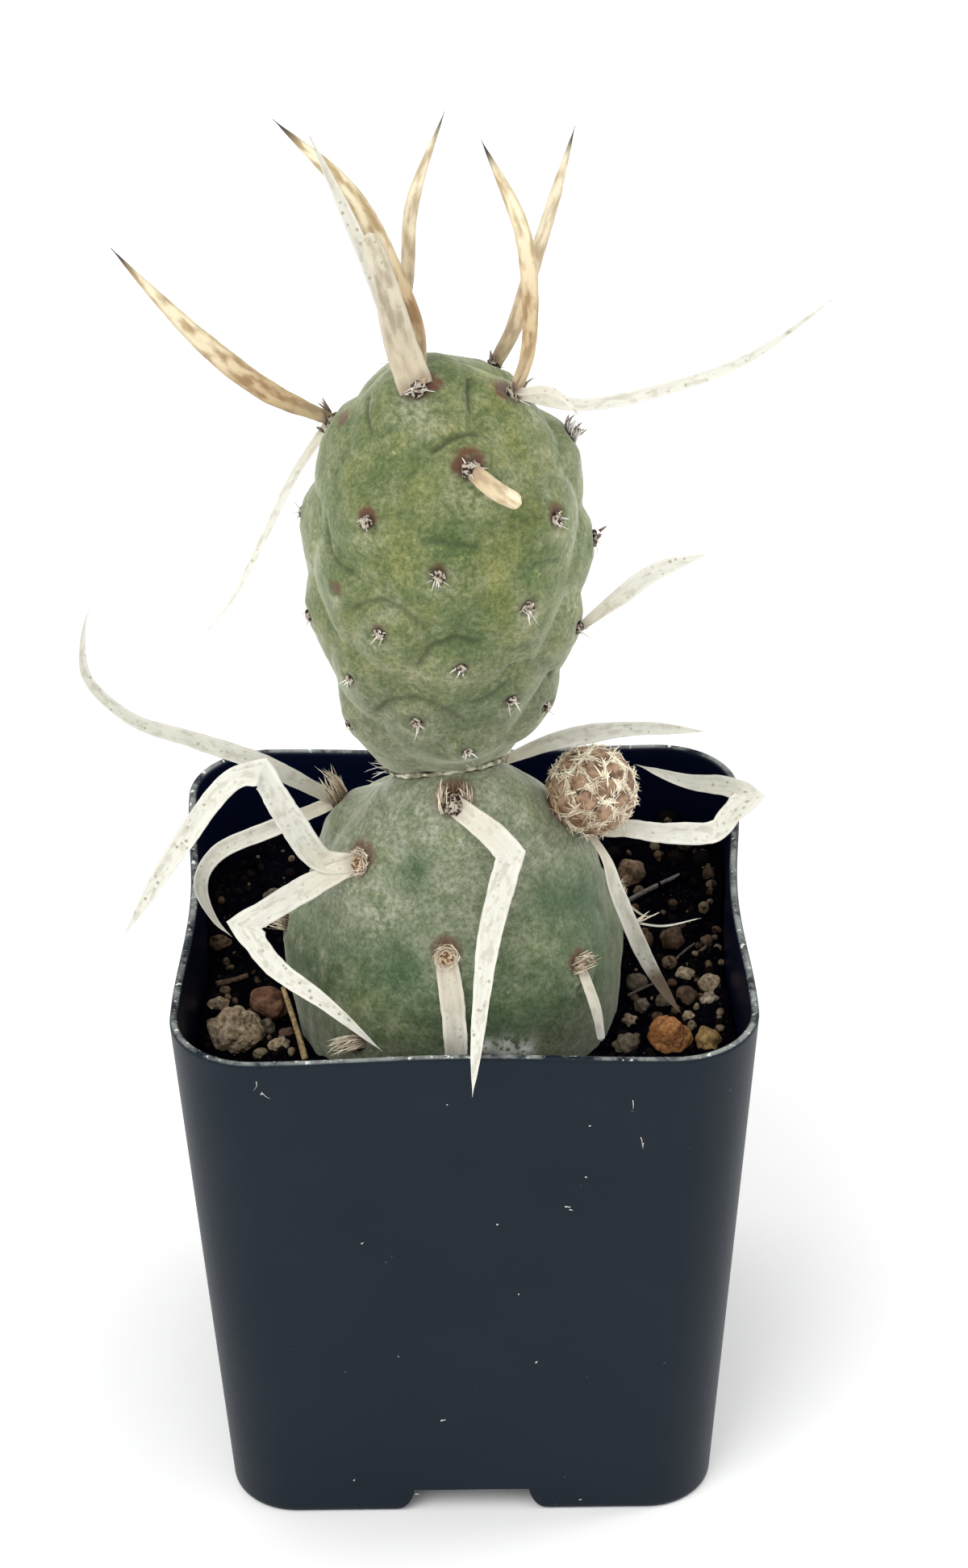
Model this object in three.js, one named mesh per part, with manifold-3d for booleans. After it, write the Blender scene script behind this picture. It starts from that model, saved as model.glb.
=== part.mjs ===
// A young paper spine cactus in a small square nursery pot.
// Millimetres, +Z up, +X to the right, +Y away from the front.
// The origin is at the middle of the pot's base, on the surface that the pot stands on.

import * as THREE from 'three';
import { mergeVertices } from 'three/addons/utils/BufferGeometryUtils.js';
import Module from 'manifold-3d';

const wasm = await Module();
wasm.setup();

// Driving dimensions of the pot: a 2.5 inch square nursery pot
const POT_TOP = 64;
const POT_BASE = 55;
const POT_HEIGHT = 66.6;
const POT_WALL = 1;
const CORNER_RADIUS_TOP = 9.4;
const CORNER_RADIUS_BASE = 7.5;
const SIDE_BOW = 1.15;
const FRONT_BOW = 0.9;
const FOOT_HEIGHT = 3.3;
const CHANNEL_WIDTH = 14;
const BASE_EDGE = 0.9;
const DRAIN_RADIUS = 3;
const DRAIN_REACH = 15;

// Driving dimensions of the fill and the plant
const GAP = 0.3;
const SOIL_LEVEL = 57;
const SOIL_RELIEF = 0.6;
const PLANT_Y = -8;
const BLADE = 0.6;
const BRISTLE = 0.5;
const BALL_RADIUS = 4.9;
const BALL_CENTRE = new THREE.Vector3(14.1, -8.2, 85.7);

// The direction that ribbons turn their flat side to, forwards and a little up
const FRONT = new THREE.Vector3(0, -0.84, 0.54);

const group = new THREE.Group();

function finish(colour, roughness) {
  return new THREE.MeshStandardMaterial({ color: colour, roughness, metalness: 0 });
}

function seeded(seed) {
  let state = seed;
  return () => {
    state = (state * 1664525 + 1013904223) % 4294967296;
    return state / 4294967296;
  };
}

// Turn a closed geometry into a solid that can be cut and joined
function solid(geometry) {
  const bare = geometry.clone();
  bare.deleteAttribute('normal');
  bare.deleteAttribute('uv');
  const merged = mergeVertices(bare, 1e-4);
  return new wasm.Manifold(new wasm.Mesh({
    numProp: 3,
    vertProperties: new Float32Array(merged.attributes.position.array),
    triVerts: new Uint32Array(merged.index.array),
  }));
}

// Turn a solid back into a geometry, keeping only its largest body
function shapeOf(body) {
  const bodies = body.decompose();
  bodies.sort((a, b) => b.volume() - a.volume());
  const mesh = bodies[0].getMesh();
  const geometry = new THREE.BufferGeometry();
  geometry.setAttribute('position', new THREE.BufferAttribute(new Float32Array(mesh.vertProperties), 3));
  geometry.setIndex(Array.from(mesh.triVerts));
  geometry.computeVertexNormals();
  return geometry;
}

function addPiece(name, body, material) {
  const mesh = new THREE.Mesh(shapeOf(body), material);
  mesh.name = name;
  group.add(mesh);
}

// Skin a stack of rings that all have the same number of points, and close both ends
function skin(rings) {
  const around = rings[0].length;
  const points = rings.flat();
  const faces = [];
  for (let row = 0; row + 1 < rings.length; row += 1) {
    for (let k = 0; k < around; k += 1) {
      const next = (k + 1) % around;
      const a = row * around + k;
      const b = row * around + next;
      const c = (row + 1) * around + next;
      const d = (row + 1) * around + k;
      faces.push(a, b, c, a, c, d);
    }
  }
  for (const [start, flip] of [[0, true], [(rings.length - 1) * around, false]]) {
    const middle = new THREE.Vector3();
    for (let k = 0; k < around; k += 1) middle.addScaledVector(points[start + k], 1 / around);
    const hub = points.push(middle) - 1;
    for (let k = 0; k < around; k += 1) {
      const a = start + k;
      const b = start + (k + 1) % around;
      faces.push(...(flip ? [b, a, hub] : [a, b, hub]));
    }
  }
  const geometry = new THREE.BufferGeometry().setFromPoints(points);
  geometry.setIndex(faces);
  return geometry;
}

// The pot: rounded squares whose sides bow inwards a little more towards the rim

// One rounded square of the pot at height z, moved inwards by inset
function potRing(z, inset) {
  const share = z / POT_HEIGHT;
  const half = THREE.MathUtils.lerp(POT_BASE, POT_TOP, share) / 2 - inset;
  const radius = THREE.MathUtils.lerp(CORNER_RADIUS_BASE, CORNER_RADIUS_TOP, share) - inset;
  const flat = half - radius;
  const sideSteps = 4;
  const cornerSteps = 6;
  const ring = [];
  for (let side = 0; side < 4; side += 1) {
    const turn = side * Math.PI / 2;
    const bow = (side % 2 === 0 ? SIDE_BOW : FRONT_BOW) * share;
    const place = (x, y) => {
      const c = Math.cos(turn);
      const s = Math.sin(turn);
      ring.push(new THREE.Vector3(x * c - y * s, x * s + y * c, z));
    };
    for (let k = 0; k < sideSteps; k += 1) {
      const along = k / sideSteps;
      place(half - bow * Math.sin(Math.PI * along) ** 2, THREE.MathUtils.lerp(-flat, flat, along));
    }
    for (let k = 0; k < cornerSteps; k += 1) {
      const angle = k / cornerSteps * Math.PI / 2;
      place(flat + radius * Math.cos(angle), flat + radius * Math.sin(angle));
    }
  }
  return ring;
}

// The cross channel under the base, widened by grow on every side
function channel(grow) {
  const half = CHANNEL_WIDTH / 2 + grow;
  const roof = FOOT_HEIGHT + grow;
  const flare = half + 2.4;
  const shoulder = half - 0.45;
  const length = POT_TOP + 8;
  const outline = new THREE.Shape();
  outline.moveTo(-flare, -1);
  outline.lineTo(flare, -1);
  outline.lineTo(flare, 0);
  outline.quadraticCurveTo(half, 0.3, shoulder, roof);
  outline.lineTo(-shoulder, roof);
  outline.quadraticCurveTo(-half, 0.3, -flare, 0);
  outline.closePath();
  const bar = new THREE.ExtrudeGeometry(outline, { depth: length, bevelEnabled: false, curveSegments: 4 });
  bar.translate(0, 0, -length / 2);
  bar.rotateX(Math.PI / 2);
  const other = bar.clone().rotateZ(Math.PI / 2);
  return solid(bar).add(solid(other));
}

// Everything inside the pot's outer surface moved inwards by inset, between two heights
function potSpace(inset, bottom, top) {
  const heights = [bottom, bottom + BASE_EDGE, 0.35 * POT_HEIGHT, 0.7 * POT_HEIGHT, top];
  const rings = heights.map((z, k) => potRing(z, inset + (k === 0 ? BASE_EDGE * 0.6 : 0)));
  return solid(skin(rings)).subtract(channel(inset));
}

function drainHoles() {
  const reach = DRAIN_REACH;
  let holes = null;
  for (const [x, y] of [[0, 0], [reach, 0], [-reach, 0], [0, reach], [0, -reach]]) {
    const hole = new THREE.CylinderGeometry(DRAIN_RADIUS, DRAIN_RADIUS, 12, 12);
    hole.rotateX(Math.PI / 2);
    hole.translate(x, y, 0);
    holes = holes ? holes.add(solid(hole)) : solid(hole);
  }
  return holes;
}

// The segments: a profile carried round an axis, with a low mound round each areole

const upper = {
  lean: [[89, -1.6], [128, -1], [138.6, -2.6]],
  depth: 0.95,
  profile: [
    [5.9, 89.25], [7.5, 91], [10.3, 96.8], [12.6, 104], [14.2, 112], [14.4, 119],
    [13.1, 126], [9.6, 132], [5.2, 136.4], [2.4, 138.1], [0, 138.6],
  ],
  mound: 1.3,
  crease: 0.15,
  areoles: [
    { azimuth: 160, z: 128.8, size: 1.5 }, { azimuth: -108, z: 136.8, size: 1.6 },
    { azimuth: -11, z: 134.4, size: 1.4 }, { azimuth: 46, z: 133.9, size: 1.2 },
    { azimuth: 118, z: 133.4, size: 1.2 }, { azimuth: 13, z: 127.5, size: 1.3 },
    { azimuth: -75, z: 130.6, size: 1.5 }, { azimuth: -125, z: 125.3, size: 1.1 },
    { azimuth: -39, z: 124.2, size: 1.1 }, { azimuth: -93, z: 120.9, size: 1.1 },
    { azimuth: 172, z: 119.5, size: 1 }, { azimuth: -1, z: 117.2, size: 1.2 },
    { azimuth: -57, z: 116, size: 1.1 }, { azimuth: -137, z: 116.8, size: 0.8 },
    { azimuth: -117, z: 113.5, size: 1 }, { azimuth: -84, z: 109.9, size: 0.9 },
    { azimuth: -166, z: 110.3, size: 1 }, { azimuth: -18, z: 108.9, size: 1.2 },
    { azimuth: -136, z: 106, size: 0.8 }, { azimuth: -60, z: 104.3, size: 0.9 },
    { azimuth: -104, z: 102.3, size: 1 }, { azimuth: -33, z: 100.7, size: 0.9 },
    { azimuth: -153, z: 97.8, size: 0.9 }, { azimuth: -79, z: 97.9, size: 0.8 },
  ],
};

const lower = {
  lean: [[46, -0.8], [70, -1], [80, -0.9], [89, -1.6]],
  depth: 0.97,
  profile: [
    [9, 46], [14.5, 48], [17, 53], [18.1, 59], [18.4, 64], [17.6, 70], [15.5, 76],
    [13.7, 80], [11.3, 83.4], [8.8, 86.2], [7, 87.8], [5.9, 88.65],
  ],
  mound: 1.1,
  crease: 0.12,
  areoles: [
    { azimuth: 157, z: 81, size: 1.6 }, { azimuth: -140, z: 81.4, size: 1.7 },
    { azimuth: -86, z: 86.1, size: 1.9 }, { azimuth: -93, z: 74.7, size: 1.5 },
    { azimuth: -42, z: 70.4, size: 1.3 }, { azimuth: -124, z: 63.2, size: 1.2 },
    { azimuth: -178, z: 68.8, size: 1.2 }, { azimuth: 14, z: 68.6, size: 1.2 },
    { azimuth: 2, z: 80.4, size: 1.4 }, { azimuth: 60, z: 85, size: 1.2 },
  ],
};

// The far side carries on the same staggered rows
function addFarRows(segment, rows) {
  for (const [z, first, step, count] of rows) {
    for (let k = 0; k < count; k += 1) {
      segment.areoles.push({ azimuth: first + step * k, z, size: 1, far: true });
    }
  }
}

// Each row: height, first azimuth, step between areoles, count
addFarRows(upper, [
  [127, 60, 50, 2], [120.5, 38, 50, 3], [113, 18, 47, 4], [105.5, 42, 48, 3], [98.5, 20, 46, 4],
]);
addFarRows(lower, [[78, 72, 50, 2], [70, 42, 46, 3], [62, 22, 45, 4]]);

// The axis leans: its x at height z, straight between the points of lean
function centreAt(lean, z) {
  const above = lean.findIndex(([height]) => height >= z);
  if (above < 0) return lean.at(-1)[1];
  if (above === 0) return lean[0][1];
  const [[lowZ, lowX], [highZ, highX]] = lean.slice(above - 1, above + 1);
  return lowX + (highX - lowX) * (z - lowZ) / (highZ - lowZ);
}

// Prepare the spline of a profile, and place the areoles on it
function prepare(segment, rows) {
  const outline = new THREE.SplineCurve(segment.profile.map(([r, z]) => new THREE.Vector2(r, z)));
  segment.samples = outline.getSpacedPoints(rows);
  segment.slopes = segment.samples.map((_, k) => outline.getTangentAt(k / rows));
  for (const areole of segment.areoles) {
    Object.assign(areole, pointAt(segment, areole.azimuth, areole.z));
  }
}

// The joint between the segments lies in a plane that is higher at the front and on the right, and
// both segments follow it within JOINT_REACH of its height
const JOINT_HEIGHT = 88.9;
const JOINT_REACH = 9;
const JOINT_TILT_X = 0.14;
const JOINT_TILT_Y = -0.46;

// The plain point of a segment at an azimuth on one profile sample
function plainPoint(segment, sample, angle) {
  const across = sample.x * Math.cos(angle);
  const deep = segment.depth * sample.x * Math.sin(angle);
  const apart = Math.abs(sample.y - JOINT_HEIGHT);
  const near = 1 - THREE.MathUtils.smoothstep(apart, 0, JOINT_REACH);
  return new THREE.Vector3(
    centreAt(segment.lean, sample.y) + across,
    PLANT_Y + deep,
    sample.y + near * (JOINT_TILT_X * across + JOINT_TILT_Y * deep),
  );
}

function pointAt(segment, azimuth, z) {
  const { samples, slopes } = segment;
  const above = samples.findIndex((sample) => sample.y >= z);
  const share = (z - samples[above - 1].y) / (samples[above].y - samples[above - 1].y);
  const sample = samples[above - 1].clone().lerp(samples[above], share);
  const slope = slopes[above - 1].clone().lerp(slopes[above], share).normalize();
  const angle = THREE.MathUtils.degToRad(azimuth);
  const cos = Math.cos(angle);
  const sin = Math.sin(angle);
  return {
    point: plainPoint(segment, sample, angle),
    rise: new THREE.Vector3(slope.x * cos, slope.x * sin, slope.y),
    normal: new THREE.Vector3(slope.y * cos, slope.y * sin, -slope.x),
  };
}

// A mound reaches MOUND_REACH from its areole, and its distances are shortened below the areole and
// stretched above it, so that its crease arches closely over it
const MOUND_REACH = 7;
const MOUND_POWER = 1.25;
const CREASE_WIDTH = 1.8;
const REACH_ABOVE = 0.75;
const REACH_BELOW = 1.35;

// Height of the relief: mounds that end in creases arching over the areoles below them
function relief(segment, point) {
  let nearest = Infinity;
  let second = Infinity;
  for (const areole of segment.areoles) {
    const apart = point.clone().sub(areole.point);
    const along = apart.dot(areole.rise);
    const across = Math.sqrt(Math.max(apart.lengthSq() - along ** 2, 0));
    const distance = Math.hypot(across, along / (along > 0 ? REACH_ABOVE : REACH_BELOW));
    if (distance < nearest) {
      second = nearest;
      nearest = distance;
    } else if (distance < second) {
      second = distance;
    }
  }
  const mound = segment.mound * (1 - Math.min(nearest / MOUND_REACH, 1)) ** MOUND_POWER;
  const crease = segment.crease * Math.exp(-(((second - nearest) / CREASE_WIDTH) ** 2));
  return mound - crease;
}

// The whole surface of a segment, moved outwards by offset
function segmentSolid(segment, around, offset) {
  const rings = segment.samples.map((sample, row) => {
    const slope = segment.slopes[row];
    const ring = [];
    for (let k = 0; k < around; k += 1) {
      const angle = k / around * 2 * Math.PI;
      const point = plainPoint(segment, sample, angle);
      const fade = Math.min(sample.x / 5, 1);
      const height = relief(segment, point) * fade + offset;
      point.x += slope.y * height * Math.cos(angle);
      point.y += slope.y * height * Math.sin(angle);
      point.z -= slope.x * height;
      ring.push(point);
    }
    return ring;
  });
  if (segment.samples.at(-1).x < 0.01) rings.pop();
  return solid(skin(rings));
}

// Ribbon spines: flat blades carried along a centreline, with folds between strokes

function ribbon(base, strokes, widths, turns) {
  const path = [];
  let joined = [base, ...strokes[0]];
  strokes.forEach((stroke, index) => {
    if (index > 0) joined = [strokes[index - 1].at(-1), ...stroke];
    const curve = new THREE.CatmullRomCurve3(joined.map((p) => new THREE.Vector3(...p)));
    const steps = Math.max(2, Math.round(curve.getLength() / 5.5));
    const from = index === 0 ? 0 : 1;
    for (let k = from; k <= steps; k += 1) {
      path.push({ point: curve.getPointAt(k / steps), tangent: curve.getTangentAt(k / steps) });
    }
    if (index > 0) {
      const fold = path[path.length - steps - 1];
      fold.bend = fold.tangent.dot(curve.getTangentAt(0));
      fold.tangent = fold.tangent.clone().add(curve.getTangentAt(0)).normalize();
    }
  });
  const last = path.length - 1;
  const rings = path.map(({ point, tangent, bend }, k) => {
    const share = k / last;
    const slot = share * (widths.length - 1);
    const low = Math.min(Math.floor(slot), widths.length - 2);
    const wide = THREE.MathUtils.lerp(widths[low], widths[low + 1], slot - low);
    const turn = THREE.MathUtils.degToRad(THREE.MathUtils.lerp(turns[0], turns[1], share));
    const flat = FRONT.clone().addScaledVector(tangent, -FRONT.dot(tangent)).normalize();
    flat.applyAxisAngle(tangent, turn);
    const side = new THREE.Vector3().crossVectors(tangent, flat);
    const stretch = bend === undefined ? 1 : Math.min(1 / Math.sqrt((1 + bend) / 2), 1.5);
    const half = Math.max(wide, BLADE) / 2 * stretch;
    return [[1, 1], [1, -1], [-1, -1], [-1, 1]].map(([a, b]) => point.clone()
      .addScaledVector(side, a * half)
      .addScaledVector(flat, b * BLADE / 2));
  });
  return solid(skin(rings));
}

// A three-sided needle from a root point along a direction
function needle(root, direction, length, thick) {
  const cone = new THREE.ConeGeometry(thick / 2, length, 3);
  cone.translate(0, length / 2, 0);
  const turn = new THREE.Quaternion().setFromUnitVectors(new THREE.Vector3(0, 1, 0), direction);
  cone.applyQuaternion(turn);
  cone.translate(root.x, root.y, root.z);
  return solid(cone);
}

// The felt cushion of an areole: a low button sunk into the surface and standing out of it by height
function cushion(areole, radius, height, sides) {
  const depth = 2;
  const stub = new THREE.CylinderGeometry(radius * 0.6, radius * 1.15, height + depth, sides);
  stub.translate(0, (height - depth) / 2, 0);
  stub.applyQuaternion(new THREE.Quaternion().setFromUnitVectors(new THREE.Vector3(0, 1, 0), areole.normal));
  const { x, y, z } = areole.seat;
  stub.translate(x, y, z);
  return solid(stub);
}

function bristles(areole, count, length, random) {
  const parts = [];
  const sideways = new THREE.Vector3().crossVectors(areole.normal, areole.rise);
  for (let k = 0; k < count; k += 1) {
    const angle = (k + random() * 0.6) / count * 2 * Math.PI;
    const direction = areole.normal.clone()
      .addScaledVector(areole.rise, 0.8 * Math.cos(angle))
      .addScaledVector(sideways, 0.8 * Math.sin(angle))
      .normalize();
    parts.push(needle(areole.seat, direction, length * (0.8 + 0.4 * random()), BRISTLE));
  }
  return parts;
}

// Seat each areole on the relief of its segment
function seatAreoles(segment) {
  for (const areole of segment.areoles) {
    areole.normal.normalize();
    areole.seat = areole.point.clone().addScaledVector(areole.normal, relief(segment, areole.point));
  }
}

const UPPER_ROWS = 25;
const LOWER_ROWS = 21;
const AROUND = 42;
prepare(upper, UPPER_ROWS);
prepare(lower, LOWER_ROWS);
seatAreoles(upper);
seatAreoles(lower);

// The ribbons of each areole that bears them. A stroke is a run of points, and two strokes meet in a
// sharp fold. Widths go from base to tip, and turns are in degrees off the front at base and tip.
const ribbons = {
  upper: [
    {
      name: 'upper_left_shoulder',
      areole: 0,
      blades: [
        {
          strokes: [[[-19.5, -7, 134.5], [-25.5, -9, 141], [-31, -10, 148], [-34.5, -10, 152.5]]],
          widths: [1.2, 2.3, 2.3, 1.4, 0.6],
          turns: [-20, 30],
        },
        {
          strokes: [[[-17, -7.2, 124.6], [-20, -9.2, 119], [-23.8, -11, 112], [-27, -12, 108]]],
          widths: [1, 0.9, 0.7, 0.6],
          turns: [0, 20],
        },
      ],
    },
    {
      name: 'upper_top_front',
      areole: 1,
      blades: [
        {
          strokes: [[[-5.4, -12, 142], [-7, -12.4, 150], [-8.4, -12.4, 155]]],
          widths: [3.2, 2.9, 2.5, 1.8],
          turns: [15, -10],
        },
        {
          strokes: [[[-4, -8.5, 141.7], [-6.5, -6.5, 148.5], [-10.3, -4.5, 155.5], [-18, -2.5, 163]]],
          widths: [2, 2.1, 2.2, 1.8, 0.6],
          turns: [-15, 25],
        },
        {
          strokes: [[[-6.3, -9.8, 143], [-9.4, -8.6, 152], [-14.4, -7.4, 164]]],
          widths: [1.2, 1.6, 1.4, 0.6],
          turns: [0, -20],
        },
      ],
    },
    {
      name: 'upper_top_back',
      areole: 4,
      blades: [
        {
          strokes: [[[-4.8, -1, 145], [-4.2, 0, 152], [-0.7, 1.5, 161.8]]],
          widths: [1.4, 1.5, 1.4, 0.6],
          turns: [20, -20],
        },
      ],
    },
    {
      name: 'upper_right_front',
      areole: 2,
      blades: [
        {
          strokes: [[[7.4, -9, 139], [7.8, -9.4, 146], [6.9, -9.4, 154], [3, -8, 163]]],
          widths: [1.3, 1.5, 1.8, 1.5, 0.6],
          turns: [10, -25],
        },
        {
          strokes: [[[13, -7, 132.4], [22, -4, 132.6], [30.5, -1, 134.4], [40.1, 3, 139.6]]],
          widths: [1.4, 1.4, 1.1, 0.6],
          turns: [-20, 20],
        },
        {
          strokes: [[[10.2, -12, 136.6], [13.2, -14, 134.2]]],
          widths: [0.9, 0.8, 0.6],
          turns: [0, 0],
        },
      ],
    },
    {
      name: 'upper_right_back',
      areole: 3,
      blades: [
        {
          strokes: [[[6.2, -4, 140], [7.8, -3, 145.2], [10.2, -1, 152.4], [12.6, 1.5, 160]]],
          widths: [1.5, 1.7, 1.5, 1.2, 0.6],
          turns: [-15, 20],
        },
      ],
    },
    {
      name: 'upper_front_broken',
      areole: 6,
      blades: [
        {
          strokes: [[[4, -21.4, 130.4], [6.6, -24, 130.2]]],
          widths: [1.7, 2, 1.8],
          turns: [0, 15],
        },
      ],
    },
    {
      name: 'upper_right_low',
      areole: 17,
      blades: [
        {
          strokes: [[[16.6, -9.5, 110.3], [20.8, -6.5, 112], [26.6, -3, 112.2]]],
          widths: [1, 1.9, 1.9, 0.7],
          turns: [-25, 15],
        },
      ],
    },
    { name: 'upper_right_edge', areole: 5, blades: [] },
  ],
  lower: [
    {
      name: 'lower_left_shoulder',
      areole: 0,
      blades: [
        {
          strokes: [[
            [-22, -9, 90.5], [-28.5, -11, 94.5], [-35, -13, 98.5],
            [-39.4, -14, 104.5], [-39.3, -14, 110.5], [-38.4, -14, 113.2],
          ]],
          widths: [1.4, 2, 2.1, 1.7, 1.3, 1, 0.6],
          turns: [-25, 30],
        },
        {
          strokes: [[
            [-20.6, -5, 79.4], [-27.3, -3.5, 75], [-29.3, -3, 70.5],
            [-27.8, -4, 66.4], [-25.9, -5, 64.8],
          ]],
          widths: [1.3, 1.9, 1.9, 1.6, 0.7],
          turns: [10, -30],
        },
      ],
    },
    {
      name: 'lower_left_front',
      areole: 1,
      blades: [
        {
          strokes: [
            [[-14.9, -17, 82.8], [-18.2, -19.2, 89.5], [-21, -20.4, 96.4]],
            [[-24, -21, 95.8], [-30.5, -22.4, 87.4], [-36.4, -24, 77.8]],
          ],
          widths: [2, 3, 3, 2.4, 2.3, 2.3, 1.6, 0.6],
          turns: [10, -20],
        },
        {
          strokes: [
            [[-16.5, -18.6, 80.6], [-23.4, -23, 78.6]],
            [[-20.4, -24.4, 74.4], [-14.8, -26.2, 70.5], [-8.8, -27.8, 65.2]],
          ],
          widths: [1.7, 2.8, 2.6, 2.4, 2, 1.2, 0.6],
          turns: [-10, 15],
        },
      ],
    },
    {
      name: 'lower_centre_front',
      areole: 2,
      blades: [
        {
          strokes: [
            [[1.5, -18.9, 88.9], [3.4, -19.8, 87.6], [5.2, -20.6, 85.7]],
            [[4.2, -22, 82.4], [2.8, -26, 78.4], [1.6, -32, 71.6], [0.8, -35, 64.3]],
          ],
          widths: [2.2, 2.9, 2.8, 2.6, 1.9, 1.4, 0.6],
          turns: [0, 20],
        },
      ],
    },
    {
      name: 'lower_front',
      areole: 3,
      blades: [
        {
          strokes: [[[-1.2, -26.4, 70.4], [-0.9, -27.6, 66], [-0.9, -27.6, 61.5]]],
          widths: [2.4, 2.6, 2.5, 2.3],
          turns: [0, 10],
        },
      ],
    },
    {
      name: 'lower_right_front',
      areole: 4,
      blades: [
        {
          strokes: [[[14.3, -21.6, 66], [14.9, -22.4, 62.4]]],
          widths: [1.1, 1.2, 0.8],
          turns: [-20, 0],
        },
      ],
    },
    { name: 'lower_left_tuft', areole: 5, blades: [] },
    { name: 'lower_left_edge', areole: 6, blades: [] },
    {
      name: 'lower_right_edge',
      areole: 7,
      blades: [
        {
          strokes: [[[18.9, -6.4, 67.1]], [[22.1, -6, 66.3], [26.5, -4.2, 66.1]]],
          widths: [0.8, 0.7, 0.6],
          turns: [0, 0],
        },
        {
          strokes: [[[20.3, -6, 67.6], [21.8, -5.6, 67.9]]],
          widths: [0.7, 0.6, 0.6],
          turns: [0, 0],
        },
      ],
    },
    {
      name: 'under_ball',
      areole: 8,
      blades: [
        {
          strokes: [
            [
              [15.8, -7.6, 80.4], [18.4, -7.5, 80.3], [21.4, -7, 79.4], [24.3, -6, 78.6],
              [26.6, -5, 77.9], [28.3, -3.5, 77.5], [29.6, -2, 78.4], [31.8, -0.6, 79.9],
            ],
            [[29.3, 2.1, 79.5], [25.1, 4, 79], [19.3, 3.5, 81.6]],
          ],
          widths: [1.5, 2, 2.3, 2.5, 2.4, 2.3, 2.1, 1.3, 0.6],
          turns: [20, -10],
        },
        {
          strokes: [[
            [15.7, -10.4, 78.1], [16.6, -11.6, 75.4], [18.9, -12.2, 69.1], [20.2, -12.1, 65.8],
            [21.5, -12, 63], [22.9, -12.2, 60.5], [24, -12.5, 58.9],
          ]],
          widths: [0.7, 0.8, 1.4, 1.7, 1.8, 1.8, 1.6, 1.2, 0.6],
          turns: [-20, 25],
        },
      ],
    },
    {
      name: 'lower_right_back',
      areole: 9,
      blades: [
        {
          strokes: [[
            [6.4, 2.4, 83.9], [9.6, 4, 84.3], [13.2, 6, 84], [19.7, 9.5, 82.6], [27.6, 13, 79.9],
          ]],
          widths: [1, 1.9, 2.3, 1.7, 1.3, 0.6],
          turns: [25, -10],
        },
      ],
    },
  ],
};

// On the far side a ribbon leaves its areole outwards and droops by a formula
function archedStroke(areole, reach, droop, sway) {
  const out = areole.normal.clone().setZ(0).normalize();
  const aside = new THREE.Vector3(-out.y, out.x, 0);
  const stroke = [];
  for (const share of [0.25, 0.5, 0.75, 1]) {
    const point = areole.seat.clone()
      .addScaledVector(out, reach * Math.sin(share * 1.25) / Math.sin(1.25))
      .addScaledVector(aside, sway * share ** 2);
    point.z += 3 * Math.sin(share * Math.PI) - droop * share ** 2;
    stroke.push(point.toArray());
  }
  return stroke;
}

function addFarRibbons(segment, prefix, picks) {
  const far = segment.areoles.filter((areole) => areole.far);
  picks.forEach(([index, reach, droop, sway, wide, turn], k) => {
    const areole = far[index];
    const stroke = archedStroke(areole, reach, droop, sway);
    const widths = [wide * 0.7, wide, wide * 0.8, BLADE];
    const blade = { strokes: [stroke], widths, turns: [turn, turn + 30] };
    ribbons[prefix].push({
      name: `${prefix}_far_${k + 1}`,
      areole: segment.areoles.indexOf(areole),
      blades: [blade],
    });
  });
}

// Each far ribbon: areole, reach, droop, sway aside, width, turn in degrees
addFarRibbons(upper, 'upper', [[3, 28.3, 17.5, -4, 2.2, 75], [7, 20, 15, -2, 2, 60], [10, 21, 13, 5, 2, 80]]);
addFarRibbons(lower, 'lower', [[0, 23, 5, 4, 2.6, 70], [3, 14, 4, -8, 2.4, 85], [7, 11, 3, 3, 2, 60]]);

// Join a spray from its cushion, ribbons and bristles, and trim it clear of its segment
function spray(areole, blades, clear, random) {
  const bare = blades.length === 0;
  let body = cushion(areole, areole.size, areole.size * 0.6 + 0.4, 7);
  for (const { strokes, widths, turns } of blades) {
    body = body.add(ribbon(areole.seat.toArray(), strokes, widths, turns));
  }
  const needles = bristles(areole, bare ? 5 : 3, areole.size * (bare ? 2 : 1.7), random);
  for (const part of needles) body = body.add(part);
  return body.subtract(clear);
}

function addSprays(segment, prefix, clear, material) {
  const random = seeded(prefix.length * 7 + 5);
  for (const { name, areole: index, blades } of ribbons[prefix]) {
    const areole = segment.areoles[index];
    areole.borne = true;
    addPiece(`spray_${name}`, spray(areole, blades, clear, random), material);
  }
}

// Areoles without ribbons: a small tuft fused into the segment
function withTufts(segment, body, random) {
  let whole = body;
  for (const areole of segment.areoles.filter((one) => !one.borne)) {
    whole = whole.add(cushion(areole, areole.size * 0.8, 0.5, 5));
    for (const part of bristles(areole, 2, areole.size * 1.7, random)) whole = whole.add(part);
  }
  return whole;
}

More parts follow.
